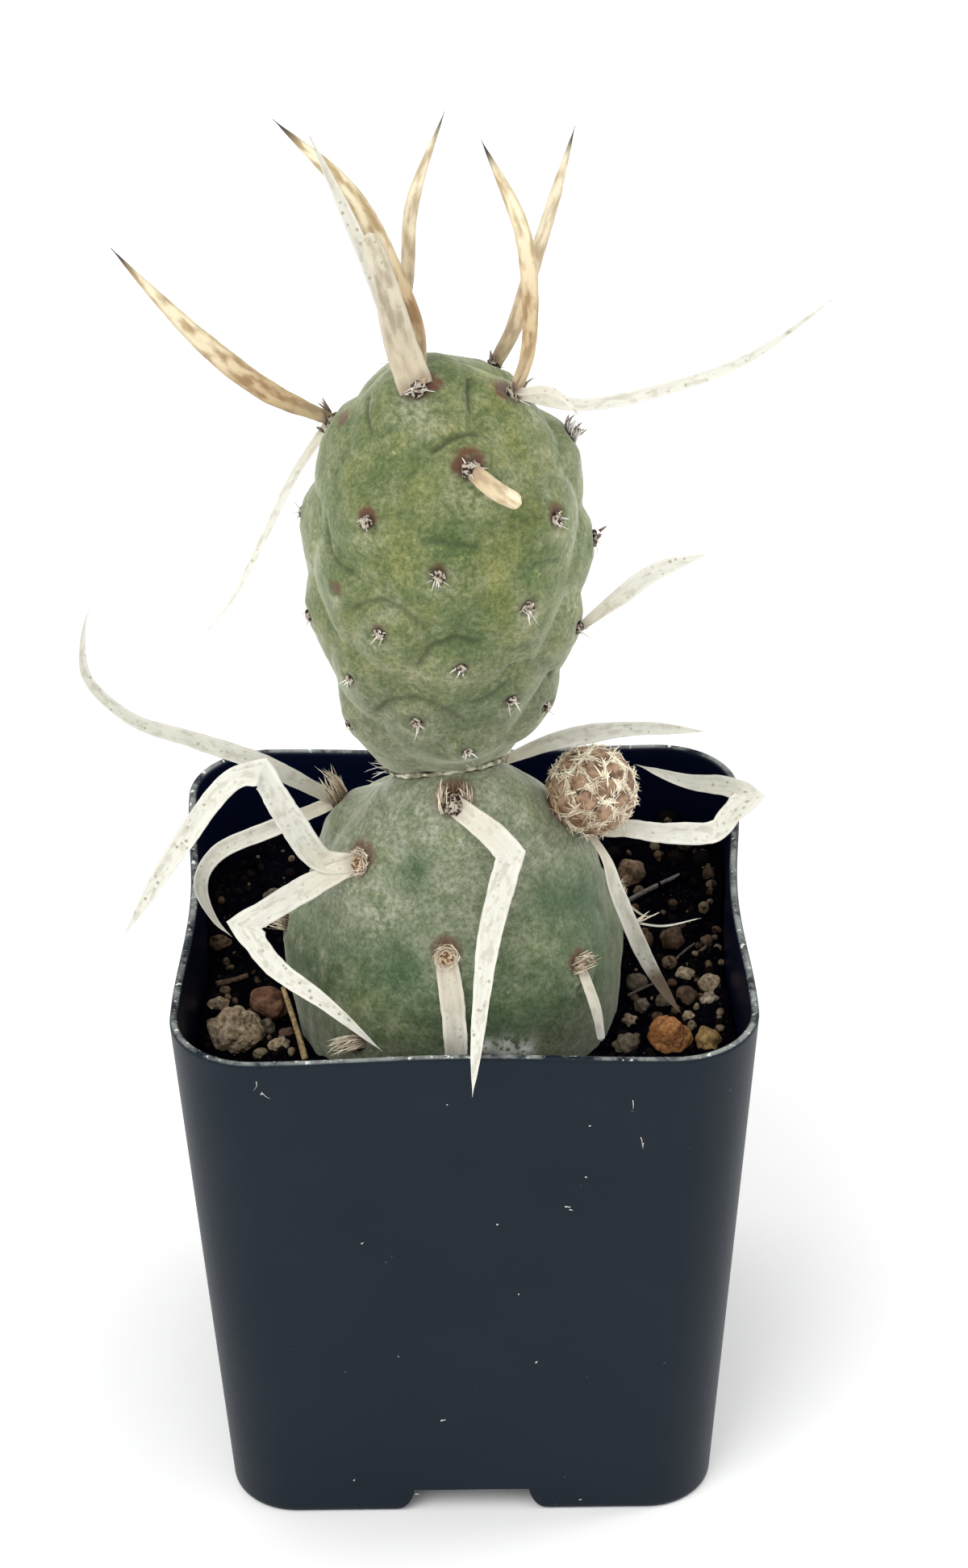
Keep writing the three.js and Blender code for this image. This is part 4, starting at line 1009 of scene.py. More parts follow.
def soil_part():
    """The top grid, a skirt that follows the pot's own rings down, and a floor, as one closed
    surface."""
    a, b = np.meshgrid(np.linspace(-1, 1, SOIL_CELLS + 1), np.linspace(-1, 1, SOIL_CELLS + 1))
    x, y = to_pot(a, b, SOIL_LEVEL, POT_WALL + SOIL_GAP)
    wide = SOIL_CELLS + 1
    top = np.stack([x, y, soil_top(x, y)], -1).reshape(-1, 3)
    index = np.arange(wide * wide).reshape(wide, wide)
    rim = np.concatenate([index[0, :-1], index[:-1, -1], index[-1, :0:-1], index[:0:-1, 0]])
    low = FOOT_HEIGHT + POT_WALL + SOIL_GAP
    count = len(rim)
    k = np.arange(count)
    after = (k + 1) % count
    rows, quads, upper = [top], [grid_faces(wide, wide, False)], rim
    for step, level in enumerate(np.linspace(SOIL_LEVEL, low, SKIRT_ROWS + 1)[1:]):
        wall_x, wall_y = to_pot(a.ravel()[rim], b.ravel()[rim], level, POT_WALL + SOIL_GAP)
        rows.append(np.stack([wall_x, wall_y, np.full(count, level)], -1))
        lower = wide * wide + step * count + k
        quads.append(np.stack([lower, lower[after], upper[after], upper], -1))
        upper = lower
    points = np.concatenate(rows + [[[0, 0, low]]])
    floor = np.stack([upper[after], upper, np.full(count, len(points) - 1)], -1)
    return {"points": points, "quads": np.concatenate(quads), "tris": floor}


# %% [markdown]
# The mix between the larger stones is made of crumbs: bits of bark and peat, grit, and a few pale
# grains of pumice. Each crumb is a low-sided lump pushed partway into the surface. About a thousand of
# them are placed by seeded random numbers, kept off the stem and the larger stones, and share a mesh.

# %% Lumps
def unit_sphere(rounds):
    """An icosahedron whose triangles are split in four, rounds times, and pushed out to a sphere."""
    g = (1 + math.sqrt(5)) / 2
    points = np.array([(-1, g, 0), (1, g, 0), (-1, -g, 0), (1, -g, 0), (0, -1, g), (0, 1, g), (0, -1, -g),
                       (0, 1, -g), (g, 0, -1), (g, 0, 1), (-g, 0, -1), (-g, 0, 1)])
    faces = np.array([(0, 11, 5), (0, 5, 1), (0, 1, 7), (0, 7, 10), (0, 10, 11), (1, 5, 9), (5, 11, 4),
                      (11, 10, 2), (10, 7, 6), (7, 1, 8), (3, 9, 4), (3, 4, 2), (3, 2, 6), (3, 6, 8),
                      (3, 8, 9), (4, 9, 5), (2, 4, 11), (6, 2, 10), (8, 6, 7), (9, 8, 1)])
    points = unit(points)
    for _ in range(rounds):
        edges = np.sort(np.concatenate([faces[:, [0, 1]], faces[:, [1, 2]], faces[:, [2, 0]]]), axis=1)
        unique, back = np.unique(edges, axis=0, return_inverse=True)
        ab, bc, ca = len(points) + back.reshape(3, -1)
        a, b, c = faces.T
        points = np.concatenate([points, unit(points[unique].mean(1))])
        split = ((a, ab, ca), (b, bc, ab), (c, ca, bc), (ab, bc, ca))
        faces = np.concatenate([np.stack(corners, -1) for corners in split])
    return points, faces


def many_lumps(places, sizes, turns, squash, rounds, rng, **values):
    """Copies of one sphere, each pushed about by its own random waves, sized, turned and placed."""
    ball, faces = unit_sphere(rounds)
    count = len(places)
    waves = rng.uniform(-2.2, 2.2, (count, 3, 3))
    phase = rng.uniform(0, 2 * math.pi, (count, 3))
    swell = 1 + 0.16 * np.sin(np.einsum("vj,nkj->nvk", ball, waves) + phase[:, None, :]).sum(-1)
    shape = ball[None] * swell[..., None] * squash[:, None, :] * sizes[:, None, None]
    c, s = np.cos(turns)[:, None], np.sin(turns)[:, None]
    x = shape[..., 0] * c - shape[..., 1] * s
    y = shape[..., 0] * s + shape[..., 1] * c
    points = np.stack([x, y, shape[..., 2]], -1) + places[:, None, :]
    all_faces = faces[None] + (np.arange(count) * len(ball))[:, None, None]
    full = {key: np.repeat(value, len(ball)) for key, value in values.items()}
    return {"points": points.reshape(-1, 3), "tris": all_faces.reshape(-1, 3), "values": full}


# %% The stones' places, as in the solids
# Each stone: x and y, how long, deep and high it is, its turn in degrees, and its kind
STONES = {
    "pumice_big": (-25.5, -13.6, 6, 5, 5, 20, "cream"),
    "pumice_red": (-22, -7.4, 4.2, 3.6, 3.8, -15, "red"),
    "grit_grey": (-22.1, -10.8, 1.8, 1.7, 1.8, 0, "grey"),
    "grit_left_brown": (-19.95, -12.2, 1.7, 1.8, 1.7, 30, "brown"),
    "pumice_left_small": (-27.6, -7.2, 2.4, 1.8, 1.5, 10, "cream"),
    "pumice_left_front": (-20.6, -15, 2.5, 1.8, 1.5, 15, "cream"),
    "lump_orange": (22.5, -17.2, 4.3, 4.4, 4.8, 10, "orange"),
    "lump_yellow": (26.8, -16.4, 2.8, 2.7, 2.8, 0, "yellow"),
    "pumice_right_cream": (27.6, -5.2, 2.6, 2.4, 2.4, -30, "cream"),
    "pumice_right_white": (27.3, -9, 2, 1.8, 1.8, 40, "white"),
    "pumice_right_flat": (24.8, -3.8, 2.2, 1.6, 1.4, 0, "cream"),
    "grit_right_grey": (19.3, -4.4, 2.2, 2, 2, 0, "grey"),
    "lump_right_brown": (19.3, 17.4, 3.3, 3, 4, -20, "tan"),
    "grit_right_near": (17.8, -16.6, 3, 2.4, 2.4, 25, "grey"),
    "grit_right_dim": (23.6, 2.8, 2.6, 2.5, 2.6, 0, "brown"),
    "grit_right_wall": (27.6, 3.8, 1.4, 1.6, 1.7, 0, "brown"),
    "grit_back_right": (28.4, 17.4, 1.4, 1.6, 1.7, 0, "brown"),
    "pumice_back": (-8, 20, 3, 2.4, 2.2, 60, "cream"),
    "grit_back_left": (-22, 16, 2.6, 2.2, 1.8, 0, "grey"),
    "lump_back_brown": (6, 24, 3.2, 2.6, 2.4, 35, "brown"),
    "grit_right_behind": (20.4, 2.9, 1.9, 2, 2.2, 0, "brown"),
    "grit_right_round": (19.7, -9.1, 1.7, 1.7, 1.7, 0, "grey"),
    "pumice_right_round": (18.2, -12.2, 1.6, 1.6, 1.5, 0, "cream"),
    "grit_right_dark": (24.8, -7.3, 2.6, 2.2, 2.2, 0, "brown"),
    "grit_right_middle": (22.1, -8.2, 1.8, 1.6, 1.7, 0, "grey"),
    "pumice_right_small": (24.9, -11.4, 1.4, 1.3, 1.3, 0, "cream"),
}


# %% Scatter the crumbs
# Two sorts of crumb: how many are tried, smallest and largest radius, rounds of the sphere, and the
# share of pale ones
CRUMB_SORTS = ((1500, 0.22, 0.7, 0, 0.10), (190, 0.5, 1.25, 1, 0.35))
STEM_X, STEM_WIDE, STEM_DEEP = -1.1, 19.3, 18.7
STONE_CLEARANCE = 0.42


def clear_of_plant(x, y, margin):
    """True where a point lies outside the stem's footprint and the larger stones, by a margin."""
    free = np.hypot((x - STEM_X) / (STEM_WIDE + margin), (y - PLANT_Y) / (STEM_DEEP + margin)) > 1
    for sx, sy, long, deep, *_ in STONES.values():
        free &= np.hypot(x - sx, y - sy) > STONE_CLEARANCE * max(long, deep) + margin
    return free


def crumbs(rng, count, smallest, largest, rounds, pale):
    """Random lumps on the soil, more of them small than large, each with a tone of its own: 0 to 0.5
    for dark bits and 0.5 to 1 for pale grains."""
    a, b = rng.uniform(-1, 1, (2, count))
    x, y = to_pot(a, b, SOIL_LEVEL, POT_WALL + SOIL_GAP + largest * 0.8)
    size = smallest + (largest - smallest) * rng.uniform(0, 1, count) ** 3
    keep = clear_of_plant(x, y, 0.3 * largest)
    x, y, size = x[keep], y[keep], size[keep]
    count = len(x)
    squash = rng.uniform(0.65, 1.15, (count, 3))
    places = np.stack([x, y, soil_top(x, y) + size * 0.25], -1)
    chosen = rng.uniform(0, 1, count) < pale
    tone = np.where(chosen, rng.uniform(0.55, 1, count), rng.uniform(0, 0.45, count))
    turns = rng.uniform(0, 2 * math.pi, count)
    return many_lumps(places, size, turns, squash, rounds, rng, tone=tone, hue=rng.uniform(0, 1, count))


# Small stones that lie where the photograph shows them: x, y, radius, tone and hue
SMALL_STONES = np.array([
    (27.4, 9.3, 0.7, 0.7, 0.3), (28.5, 14.4, 0.65, 0.8, 0.6), (28.4, 12.2, 0.45, 0.7, 0.9),
    (28.3, 10.6, 0.4, 0.6, 0.3), (23, -1.7, 0.85, 0.6, 0.5), (27.5, -2.1, 0.6, 0.8, 0.4),
    (28.3, -12.2, 0.5, 0.9, 0.2), (28.2, -14, 0.5, 0.8, 0.3), (20.5, -13.6, 0.55, 0.8, 0.2),
    (28.8, 2.3, 0.6, 0.6, 0.2), (20, 14.8, 0.65, 0.7, 0.4), (25.8, -10.1, 0.45, 0.9, 0),
    (23.2, -5.9, 0.6, 0.6, 0.9), (26.4, -6.9, 0.5, 0.6, 0.8), (23.5, -9.6, 0.6, 0.6, 0.7),
    (21.4, -10.6, 0.5, 0.6, 0.9), (19.2, -7, 0.45, 0.6, 0.6), (25.2, -14, 0.5, 0.9, 0.1),
    (29, -1.2, 0.45, 0.6, 0.5), (28.8, 6.2, 0.5, 0.6, 0.8), (18.8, 13.6, 0.4, 0.9, 0.1),
    (24.9, 5.4, 0.35, 0.8, 0.3), (26, -0.2, 0.4, 0.8, 0.1), (20.2, -0.8, 0.4, 0.6, 0.7),
    (-22.6, -16.4, 0.8, 0.9, 0), (-21.9, -13.1, 0.42, 0.8, 0.3), (-19.2, -17.3, 0.5, 0.9, 0.2),
    (-27.1, -4.7, 0.42, 0.7, 0.6), (-25.9, -6.2, 0.55, 0.8, 0.7), (-24.2, -8.9, 0.4, 0.7, 0.5),
    (-20.4, -13.4, 0.35, 0.8, 0.5), (-26.8, 1.4, 0.45, 0.6, 0.6), (-23.5, -2, 0.5, 0.6, 0.8),
    (-28.4, -10.2, 0.4, 0.7, 0.4), (-24.3, -18.6, 0.5, 0.8, 0.3), (-27.6, -17.2, 0.4, 0.7, 0.2),
])


def small_stones(rng):
    """The small stones as finer lumps, pushed a little way into the soil."""
    x, y, radius, tone, hue = SMALL_STONES.T
    places = np.stack([x, y, soil_top(x, y) + radius * 0.45], -1)
    squash = rng.uniform(0.75, 1.1, (len(x), 3))
    turns = rng.uniform(0, 2 * math.pi, len(x))
    return many_lumps(places, radius, turns, squash, 3, rng, tone=tone, hue=hue)


def soil_look():
    """Near-black peat, a little browner on its high places; its blue-black is partly painted shade."""
    material, tree = new_material("soil_mix", 0.95, 0.02)
    fine = grain(tree, 0.7, 5.0)
    high = between(tree, fine, 0.35, 0.75)
    # The blue-black is partly the peat's own dark colour and partly painted shade inside the pot.
    base = blend(tree, high, (0.0003, 0.0003, 0.0022), (0.0018, 0.0015, 0.0034))
    fleck = between(tree, grain(tree, 0.35, 1.0, seed=4.0), 0.72, 0.80)
    base = lay(tree, base, fleck, (0.16, 0.11, 0.07), 0.5)
    return paint(material, base, bump(tree, fine, 0.25))


def crumb_look():
    """Each crumb's colour comes from its tone, dark bark to pale pumice, and its hue, grey to rust; the
    blue-black of the darkest bark is partly painted shade.
    """
    material, tree = new_material("crumbs", 0.95, 0.04)
    tone, hue = stored(tree, "tone"), stored(tree, "hue")
    bark = between(tree, tone, 0.0, 0.45)
    # The dark end is blue-black: partly the bark's own colour, partly painted shade inside the pot.
    dark = blend(tree, bark, (0.0004, 0.0004, 0.0020), (0.007, 0.0045, 0.0042))
    pale = blend(tree, hue, (0.20, 0.155, 0.10), (0.085, 0.046, 0.028))
    base = blend(tree, between(tree, tone, 0.5, 0.56), dark, pale)
    mottled = grain(tree, 0.6, 4.0)
    base = lay(tree, base, between(tree, mottled, 0.45, 0.7), (0.006, 0.004, 0.0035))
    return paint(material, base, bump(tree, grain(tree, 0.4, 4.0), 0.12))


def make_soil():
    """The soil replaces its solid, and the crumbs lie on it."""
    rng = np.random.default_rng(5)
    build_piece("soil_fill", [soil_part()], [soil_look()], ["soil"])
    lumps = [crumbs(rng, *sort) for sort in CRUMB_SORTS]
    build_piece("soil_crumbs", lumps + [small_stones(rng)], [crumb_look()])
    return sum(len(part["tris"]) // (20 * 4 ** sort[3]) for part, sort in zip(lumps, CRUMB_SORTS))


print("crumbs:", make_soil())

# %% [markdown]
# ## Stones
#
# The larger stones have their own solids. Each is an ellipsoid pushed about by four waves, whose
# numbers come from a small seeded generator, so the fine stone starts from the solid's form. Fine
# noise and, on the pumice, a crowd of round pores are added to it.

# %% One stone
DRAW_FACTOR, DRAW_STEP = 1664525, 1013904223
WAVE_HEIGHT, PORE_DEPTH, SUNK = 0.07, 0.12, 0.22
LARGE_STONE = 3.2


def lcg(seed):
    """The same seeded generator as the solids use: state times one constant plus another, modulo two
    to the power of 32."""
    state = seed
    while True:
        state = (state * DRAW_FACTOR + DRAW_STEP) % WORD
        yield state / WORD


def pores(ball, long, finer, seed):
    """1 in the middle of each pore: bells round random directions, more of them on a longer stone."""
    rng = np.random.default_rng(seed)
    centres = unit(rng.normal(size=(int(14 + 10 * long), 3)))
    radius = rng.uniform(0.06, 0.19, len(centres)) * finer
    return bell(np.linalg.norm(ball[:, None] - centres[None], axis=2), radius).max(1)


def stone_part(stone, seed, rounds, porous):
    """The solid's lumpy ellipsoid on a fine sphere, with noise, and pores where it is pumice."""
    x, y, long, deep, high, turn, _ = stone
    draw = lcg(seed * 97 + 11)
    waves = [[next(draw) for _ in range(4)] for _ in range(4)]
    ball, faces = unit_sphere(rounds)
    px, py, pz = ball.T
    size = np.ones(len(ball))
    for a, b, c, d in waves:
        size += WAVE_HEIGHT * np.sin(12 * (a - 0.5) * px + 12 * (b - 0.5) * py + c * 5 * pz + d * 6.3)
    scale = np.array([long, deep, high]) / 2
    shape = ball * size[:, None] * scale
    lumpy = 0.15 if long > 5 else 0.08
    shape += ball * (lumpy * rough(shape, 0.25 * long, 4, seed + 300) * scale.mean())[:, None]
    pore = np.zeros(len(ball))
    if porous:
        finer = (LARGE_STONE / max(long, LARGE_STONE)) ** 0.5
        pore = pores(ball, long, finer, seed)
        shape -= ball * (PORE_DEPTH * pore * scale.mean() * finer)[:, None]
    angle = math.radians(turn)
    c, s = math.cos(angle), math.sin(angle)
    across, deep, up = shape.T
    shape = np.stack([across * c - deep * s, across * s + deep * c, up], -1)
    shape += [x, y, soil_waves(x, y) + high * SUNK]
    return {"points": shape, "tris": faces, "values": {"pore": pore}}


# %% [markdown]
# Pumice is cream and darker in its pores. The orange and yellow lumps look like fired clay, darker
# in their hollows, and the grit is dull grey and brown. All of them are the same finish with other tones.

# %% The stones' finish
# Each kind: its low and its high tone, and the dark tone of its hollows
STONE_TONES = {
    "cream": ((0.24, 0.175, 0.105), (0.41, 0.33, 0.22), (0.075, 0.045, 0.028)),
    "white": ((0.26, 0.21, 0.155), (0.40, 0.33, 0.26), (0.12, 0.07, 0.045)),
    "red": ((0.12, 0.050, 0.028), (0.20, 0.105, 0.062), (0.04, 0.017, 0.012)),
    "orange": ((0.24, 0.085, 0.024), (0.40, 0.19, 0.068), (0.09, 0.030, 0.010)),
    "yellow": ((0.22, 0.130, 0.047), (0.34, 0.225, 0.088), (0.08, 0.045, 0.018)),
    "tan": ((0.15, 0.092, 0.055), (0.27, 0.18, 0.115), (0.035, 0.020, 0.013)),
    "grey": ((0.090, 0.070, 0.048), (0.16, 0.13, 0.092), (0.028, 0.020, 0.014)),
    "brown": ((0.075, 0.044, 0.026), (0.135, 0.086, 0.055), (0.022, 0.013, 0.009)),
}


def stone_finish(name, low, high, hollow):
    """Two tones by noise, and the dark tone in the pores and in the finer noise's low places."""
    material, tree = new_material("stone_" + name, 0.88, 0.25)
    base = blend(tree, between(tree, grain(tree, 1.8, 5.0), 0.35, 0.65), low, high)
    dust = between(tree, grain(tree, 0.5, 4.0, seed=2.0), 0.58, 0.38)
    base = lay(tree, base, dust, hollow, 0.55)
    base = lay(tree, base, stored(tree, "pore"), hollow, 0.85)
    return paint(material, base, bump(tree, grain(tree, 0.3, 4.0, seed=6.0), 0.08))


def make_stones():
    """One piece for each stone, finer on the larger ones."""
    finishes = {name: stone_finish(name, *tones) for name, tones in STONE_TONES.items()}
    for k, (name, stone) in enumerate(STONES.items()):
        kind = stone[-1]
        part = stone_part(stone, k + 1, 5 if stone[2] > 4 else 4, kind in ("cream", "white"))
        build_piece("stone_" + name, [part], [finishes[kind]], [name])


make_stones()
print("stones:", len(STONES))

# %% [markdown]
# ## Twigs and straw
#
# Three twigs and a straw lie on the soil. Each is a round bar along a slightly bent line, thicker at
# one end, with lengthwise ridges.

# %% Sticks
STICK_STEPS, STICK_SIDES = 26, 16
# Each stick: its start, its end, its thickness and its tone
STICKS = {
    "twig_left": ((-28.1, -3.3, 57.3), (-24.6, -1.8, 57.4), 0.7, (0.13, 0.08, 0.045)),
    "straw_left": ((-17.7, -18.6, 57.7), (-20.1, -10, 61.4), 0.7, (0.38, 0.27, 0.13)),
    "twig_right": ((24.9, -1.5, 57.7), (27.5, 2, 57.9), 0.6, (0.12, 0.10, 0.085)),
    "twig_right_back": ((18.6, 12, 57.5), (25.1, 17.2, 57.7), 0.6, (0.19, 0.17, 0.16)),
}


def stick_part(start, end, thick, seed):
    """Rings across a line from start to end, with a slight bow, ridges round them and a taper."""
    start, end = np.array(start), np.array(end)
    way = (end - start) / np.linalg.norm(end - start)
    side = np.cross(way, (0, 0, 1))
    side /= np.linalg.norm(side)
    up = np.cross(side, way)
    share = np.linspace(0, 1, STICK_STEPS)
    angle = turn_steps(STICK_SIDES)
    middle = start + share[:, None] * (end - start) + 0.12 * np.sin(share * 3 + seed)[:, None] * side
    ridge = 1 + 0.08 * np.cos(5 * angle + seed) + 0.05 * np.cos(3 * angle - seed)
    radius = thick / 2 * (1 - 0.25 * share[:, None]) * ridge * (1 + 0.05 * np.sin(9 * share[:, None] + seed))
    grid = (middle[:, None] + radius[..., None] * (np.cos(angle)[None, :, None] * up
                                                   + np.sin(angle)[None, :, None] * side))
    return tube_part(grid[:, ::-1])


def stick_finish(name, tone):
    """Dry wood: streaks of lighter and darker tone."""
    material, tree = new_material("wood_" + name, 0.8, 0.3)
    streak = grain(tree, 0.5, 4.0)
    dark = shade(tone, 0.45)
    base = blend(tree, between(tree, streak, 0.35, 0.65), dark, tone)
    return paint(material, base, bump(tree, streak, 0.06))


# Two fine splinters on the right share the twig's piece
SPLINTERS = {"twig_right": [
    ((23.8, -0.4, 57.9), (26.2, 2.4, 58.1), 0.35), ((18.2, -7.4, 57.9), (21.4, -5.4, 58.1), 0.35),
]}
for k, (name, (start, end, thick, tone)) in enumerate(STICKS.items()):
    parts = [stick_part(start, end, thick, k)]
    parts += [stick_part(*splinter, 9) for splinter in SPLINTERS.get(name, [])]
    build_piece("dry_" + name, parts, [stick_finish(name, tone)], [name])
print("sticks:", len(STICKS))

# %% [markdown]
# ## Paper ribbons
#
# The spines that give the plant its name are flat blades, dry as paper. Each is a short list of
# points for its middle line, with a sharp fold wherever one stroke ends and the next begins. The
# section is a thin lens, cupped a little towards the front, with a slightly ragged edge. Every point
# stores how far along and across the blade it lies, because the streaks and specks follow the blade
# and not the space round it.

# %% The ribbons' middle lines, as in the solids
# Each spray: its areole, and its blades. A blade has its strokes, its widths from root to tip, its
# turn at the root and at the tip in degrees, how much it is horn and, for some, how much painted
# shade greys it
FRONT = np.array([0, -0.84, 0.54])
UPPER_SPRAYS = {
    "upper_left_shoulder": (0, [
        ([[(-19.5, -7, 134.5), (-25.5, -9, 141), (-31, -10, 148), (-34.5, -10, 152.5)]],
         (1.2, 2.3, 2.3, 1.4, 0.6), (-20, 30), 1.0),
        ([[(-17, -7.2, 124.6), (-20, -9.2, 119), (-23.8, -11, 112), (-27, -12, 108)]],
         (1, 0.9, 0.7, 0.6), (0, 20), 0.1),
    ]),
    "upper_top_front": (1, [
        ([[(-5.4, -12, 142), (-7, -12.4, 150), (-8.4, -12.4, 155)]],
         (4.0, 3.3, 2.5, 1.8), (15, -10), 0.5, 0.75),
        ([[(-4, -8.5, 141.7), (-6.5, -6.5, 148.5), (-10.3, -4.5, 155.5), (-18, -2.5, 163)]],
         (2, 2.1, 2.2, 1.8, 0.6), (-15, 25), 0.95),
        ([[(-6.3, -9.8, 143), (-9.4, -8.6, 152), (-14.4, -7.4, 164)]],
         (1.2, 1.6, 1.4, 0.6), (0, -20), 0.05, 0.3),
    ]),
    "upper_top_back": (4, [
        ([[(-4.8, -1, 145), (-4.2, 0, 152), (-0.7, 1.5, 161.8)]], (1.4, 1.5, 1.4, 0.6), (20, -20), 0.75),
    ]),
    "upper_right_front": (2, [
        ([[(7.4, -9, 139), (7.8, -9.4, 146), (6.9, -9.4, 154), (3, -8, 163)]],
         (1.3, 1.5, 1.8, 1.5, 0.6), (10, -25), 1.0),
        ([[(13, -7, 132.4), (22, -4, 132.6), (30.5, -1, 134.4), (40.1, 3, 139.6)]],
         (1.4, 1.4, 1.1, 0.6), (-20, 20), 0.15),
        ([[(10.2, -12, 136.6), (13.2, -14, 134.2)]], (0.9, 0.8, 0.6), (0, 0), 0.05),
    ]),
    "upper_right_back": (3, [
        ([[(6.2, -4, 140), (7.8, -3, 145.2), (10.2, -1, 152.4), (12.6, 1.5, 160)]],
         (1.5, 1.7, 1.5, 1.2, 0.6), (-15, 20), 0.75),
    ]),
    "upper_front_broken": (6, [([[(4, -21.4, 130.4), (6.6, -24, 130.2)]], (1.7, 2, 1.8), (0, 15), 0.9)]),
    "upper_right_low": (17, [
        ([[(16.6, -9.5, 110.3), (20.8, -6.5, 112), (26.6, -3, 112.2)]], (1, 1.9, 1.9, 0.7), (-25, 15), 0.15),
    ]),
    "upper_right_edge": (5, []),
}
LOWER_SPRAYS = {
    "lower_left_shoulder": (0, [
        ([[(-22, -9, 90.5), (-28.5, -11, 94.5), (-35, -13, 98.5), (-39.4, -14, 104.5), (-39.3, -14, 110.5),
           (-38.4, -14, 113.2)]], (1.4, 2, 2.1, 1.7, 1.3, 1, 0.6), (-25, 30), 0.1),
        ([[(-20.6, -5, 79.4), (-27.3, -3.5, 75), (-29.3, -3, 70.5), (-27.8, -4, 66.4), (-25.9, -5, 64.8)]],
         (1.3, 1.9, 1.9, 1.6, 0.7), (10, -30), 0.1, 0.4),
    ]),
    "lower_left_front": (1, [
        ([[(-14.9, -17, 82.8), (-18.2, -19.2, 89.5), (-21, -20.4, 96.4)],
          [(-24, -21, 95.8), (-30.5, -22.4, 87.4), (-36.4, -24, 77.8)]],
         (2, 3, 3, 2.4, 2.3, 2.3, 1.6, 0.6), (10, -20), 0.05),
        ([[(-16.5, -18.6, 80.6), (-23.4, -23, 78.6)],
          [(-20.4, -24.4, 74.4), (-14.8, -26.2, 70.5), (-8.8, -27.8, 65.2)]],
         (1.7, 2.8, 2.6, 2.4, 2, 1.2, 0.6), (-10, 15), 0.15),
    ]),
    "lower_centre_front": (2, [
        ([[(1.5, -18.9, 88.9), (3.4, -19.8, 87.6), (5.2, -20.6, 85.7)],
          [(4.2, -22, 82.4), (2.8, -26, 78.4), (1.6, -32, 71.6), (0.8, -35, 64.3)]],
         (2.2, 2.9, 2.8, 2.6, 1.9, 1.4, 0.6), (0, 20), 0.1),
    ]),
    "lower_front": (3, [
        ([[(-1.2, -26.4, 70.4), (-0.9, -27.6, 66), (-0.9, -27.6, 61.5)]],
         (2.4, 2.6, 2.5, 2.3), (0, 10), 0.1, 0.6),
    ]),
    "lower_right_front": (4, [([[(14.3, -21.6, 66), (14.9, -22.4, 62.4)]], (1.1, 1.2, 0.8), (-20, 0), 0.25)]),
    "lower_left_tuft": (5, []),
    "lower_left_edge": (6, []),
    "lower_right_edge": (7, [
        ([[(18.9, -6.4, 67.1)], [(22.1, -6, 66.3), (26.5, -4.2, 66.1)]], (0.3, 0.26, 0.22, 0.6), (0, 0), 0.1),
        ([[(20.3, -6, 67.6), (21.8, -5.6, 67.9)]], (0.3, 0.24, 0.6), (0, 0), 0.2, 0.3),
    ]),
    "under_ball": (8, [
        ([[(15.8, -7.6, 80.4), (18.4, -7.5, 80.3), (21.4, -7, 79.4), (24.3, -6, 78.6), (26.6, -5, 77.9),
           (28.3, -3.5, 77.5), (29.6, -2, 78.4), (31.8, -0.6, 79.9)],
          [(29.3, 2.1, 79.5), (25.1, 4, 79), (19.3, 3.5, 81.6)]],
         (1.5, 2, 2.3, 2.5, 2.4, 2.3, 2.1, 1.3, 0.6), (20, -10), 0.1),
        ([[(15.7, -10.4, 78.1), (16.6, -11.6, 75.4), (18.9, -12.2, 69.1), (20.2, -12.1, 65.8),
           (21.5, -12, 63), (22.9, -12.2, 60.5), (24, -12.5, 58.9)]],
         (0.7, 0.8, 1.4, 1.7, 1.8, 1.8, 1.6, 1.2, 0.6), (-20, 25), 0.1, 0.45),
    ]),
    "lower_right_back": (9, [
        ([[(6.4, 2.4, 83.9), (9.6, 4, 84.3), (13.2, 6, 84), (19.7, 9.5, 82.6), (27.6, 13, 79.9)]],
         (1, 1.9, 2.3, 1.7, 1.3, 0.6), (25, -10), 0.1),
    ]),
}
# Far ribbons: which far areole, reach, droop, sway, width and turn
UPPER_FAR = [(3, 28.3, 17.5, -4, 2.2, 75), (7, 20, 15, -2, 2, 60), (10, 21, 13, 5, 2, 80)]
LOWER_FAR = [(0, 23, 5, 4, 2.6, 70), (3, 14, 4, -8, 2.4, 85), (7, 11, 3, 3, 2, 60)]


# %% Ribbons of the far side
def add_far_ribbons(segment, sprays, prefix, picks):
    """A far ribbon leaves its areole outwards by a sine, sways aside and droops with the square of
    its share of the way."""
    for k, (index, reach, droop, sway, wide, turn) in enumerate(picks):
        areole = segment["near_count"] + index
        out = unit(segment["normal"][areole] * [1, 1, 0])
        aside = np.array([-out[1], out[0], 0])
        share = np.array([[0.25], [0.5], [0.75], [1]])
        stroke = (segment["seat"][areole] + reach * np.sin(1.25 * share) / math.sin(1.25) * out
                  + sway * share ** 2 * aside
                  + np.array([0, 0, 1]) * (3 * np.sin(math.pi * share) - droop * share ** 2))
        blade = ([stroke.tolist()], (wide * 0.7, wide, wide * 0.8, 0.6), (turn, turn + 30), 0.15)
        sprays[f"{prefix}_far_{k + 1}"] = (areole, [blade])


add_far_ribbons(UPPER, UPPER_SPRAYS, "upper", UPPER_FAR)
add_far_ribbons(LOWER, LOWER_SPRAYS, "lower", LOWER_FAR)


# %% One ribbon
RIBBON_STEP = 0.35
POINTED_BELOW, POINT_WIDTH = 0.7, 0.08
PLAIN_SHADE_SHARE = 0.1
ACROSS_STEPS = 13
PAPER_MIDDLE, PAPER_EDGE = 0.20, 0.09
HORN_MIDDLE, HORN_EDGE = 0.42, 0.12


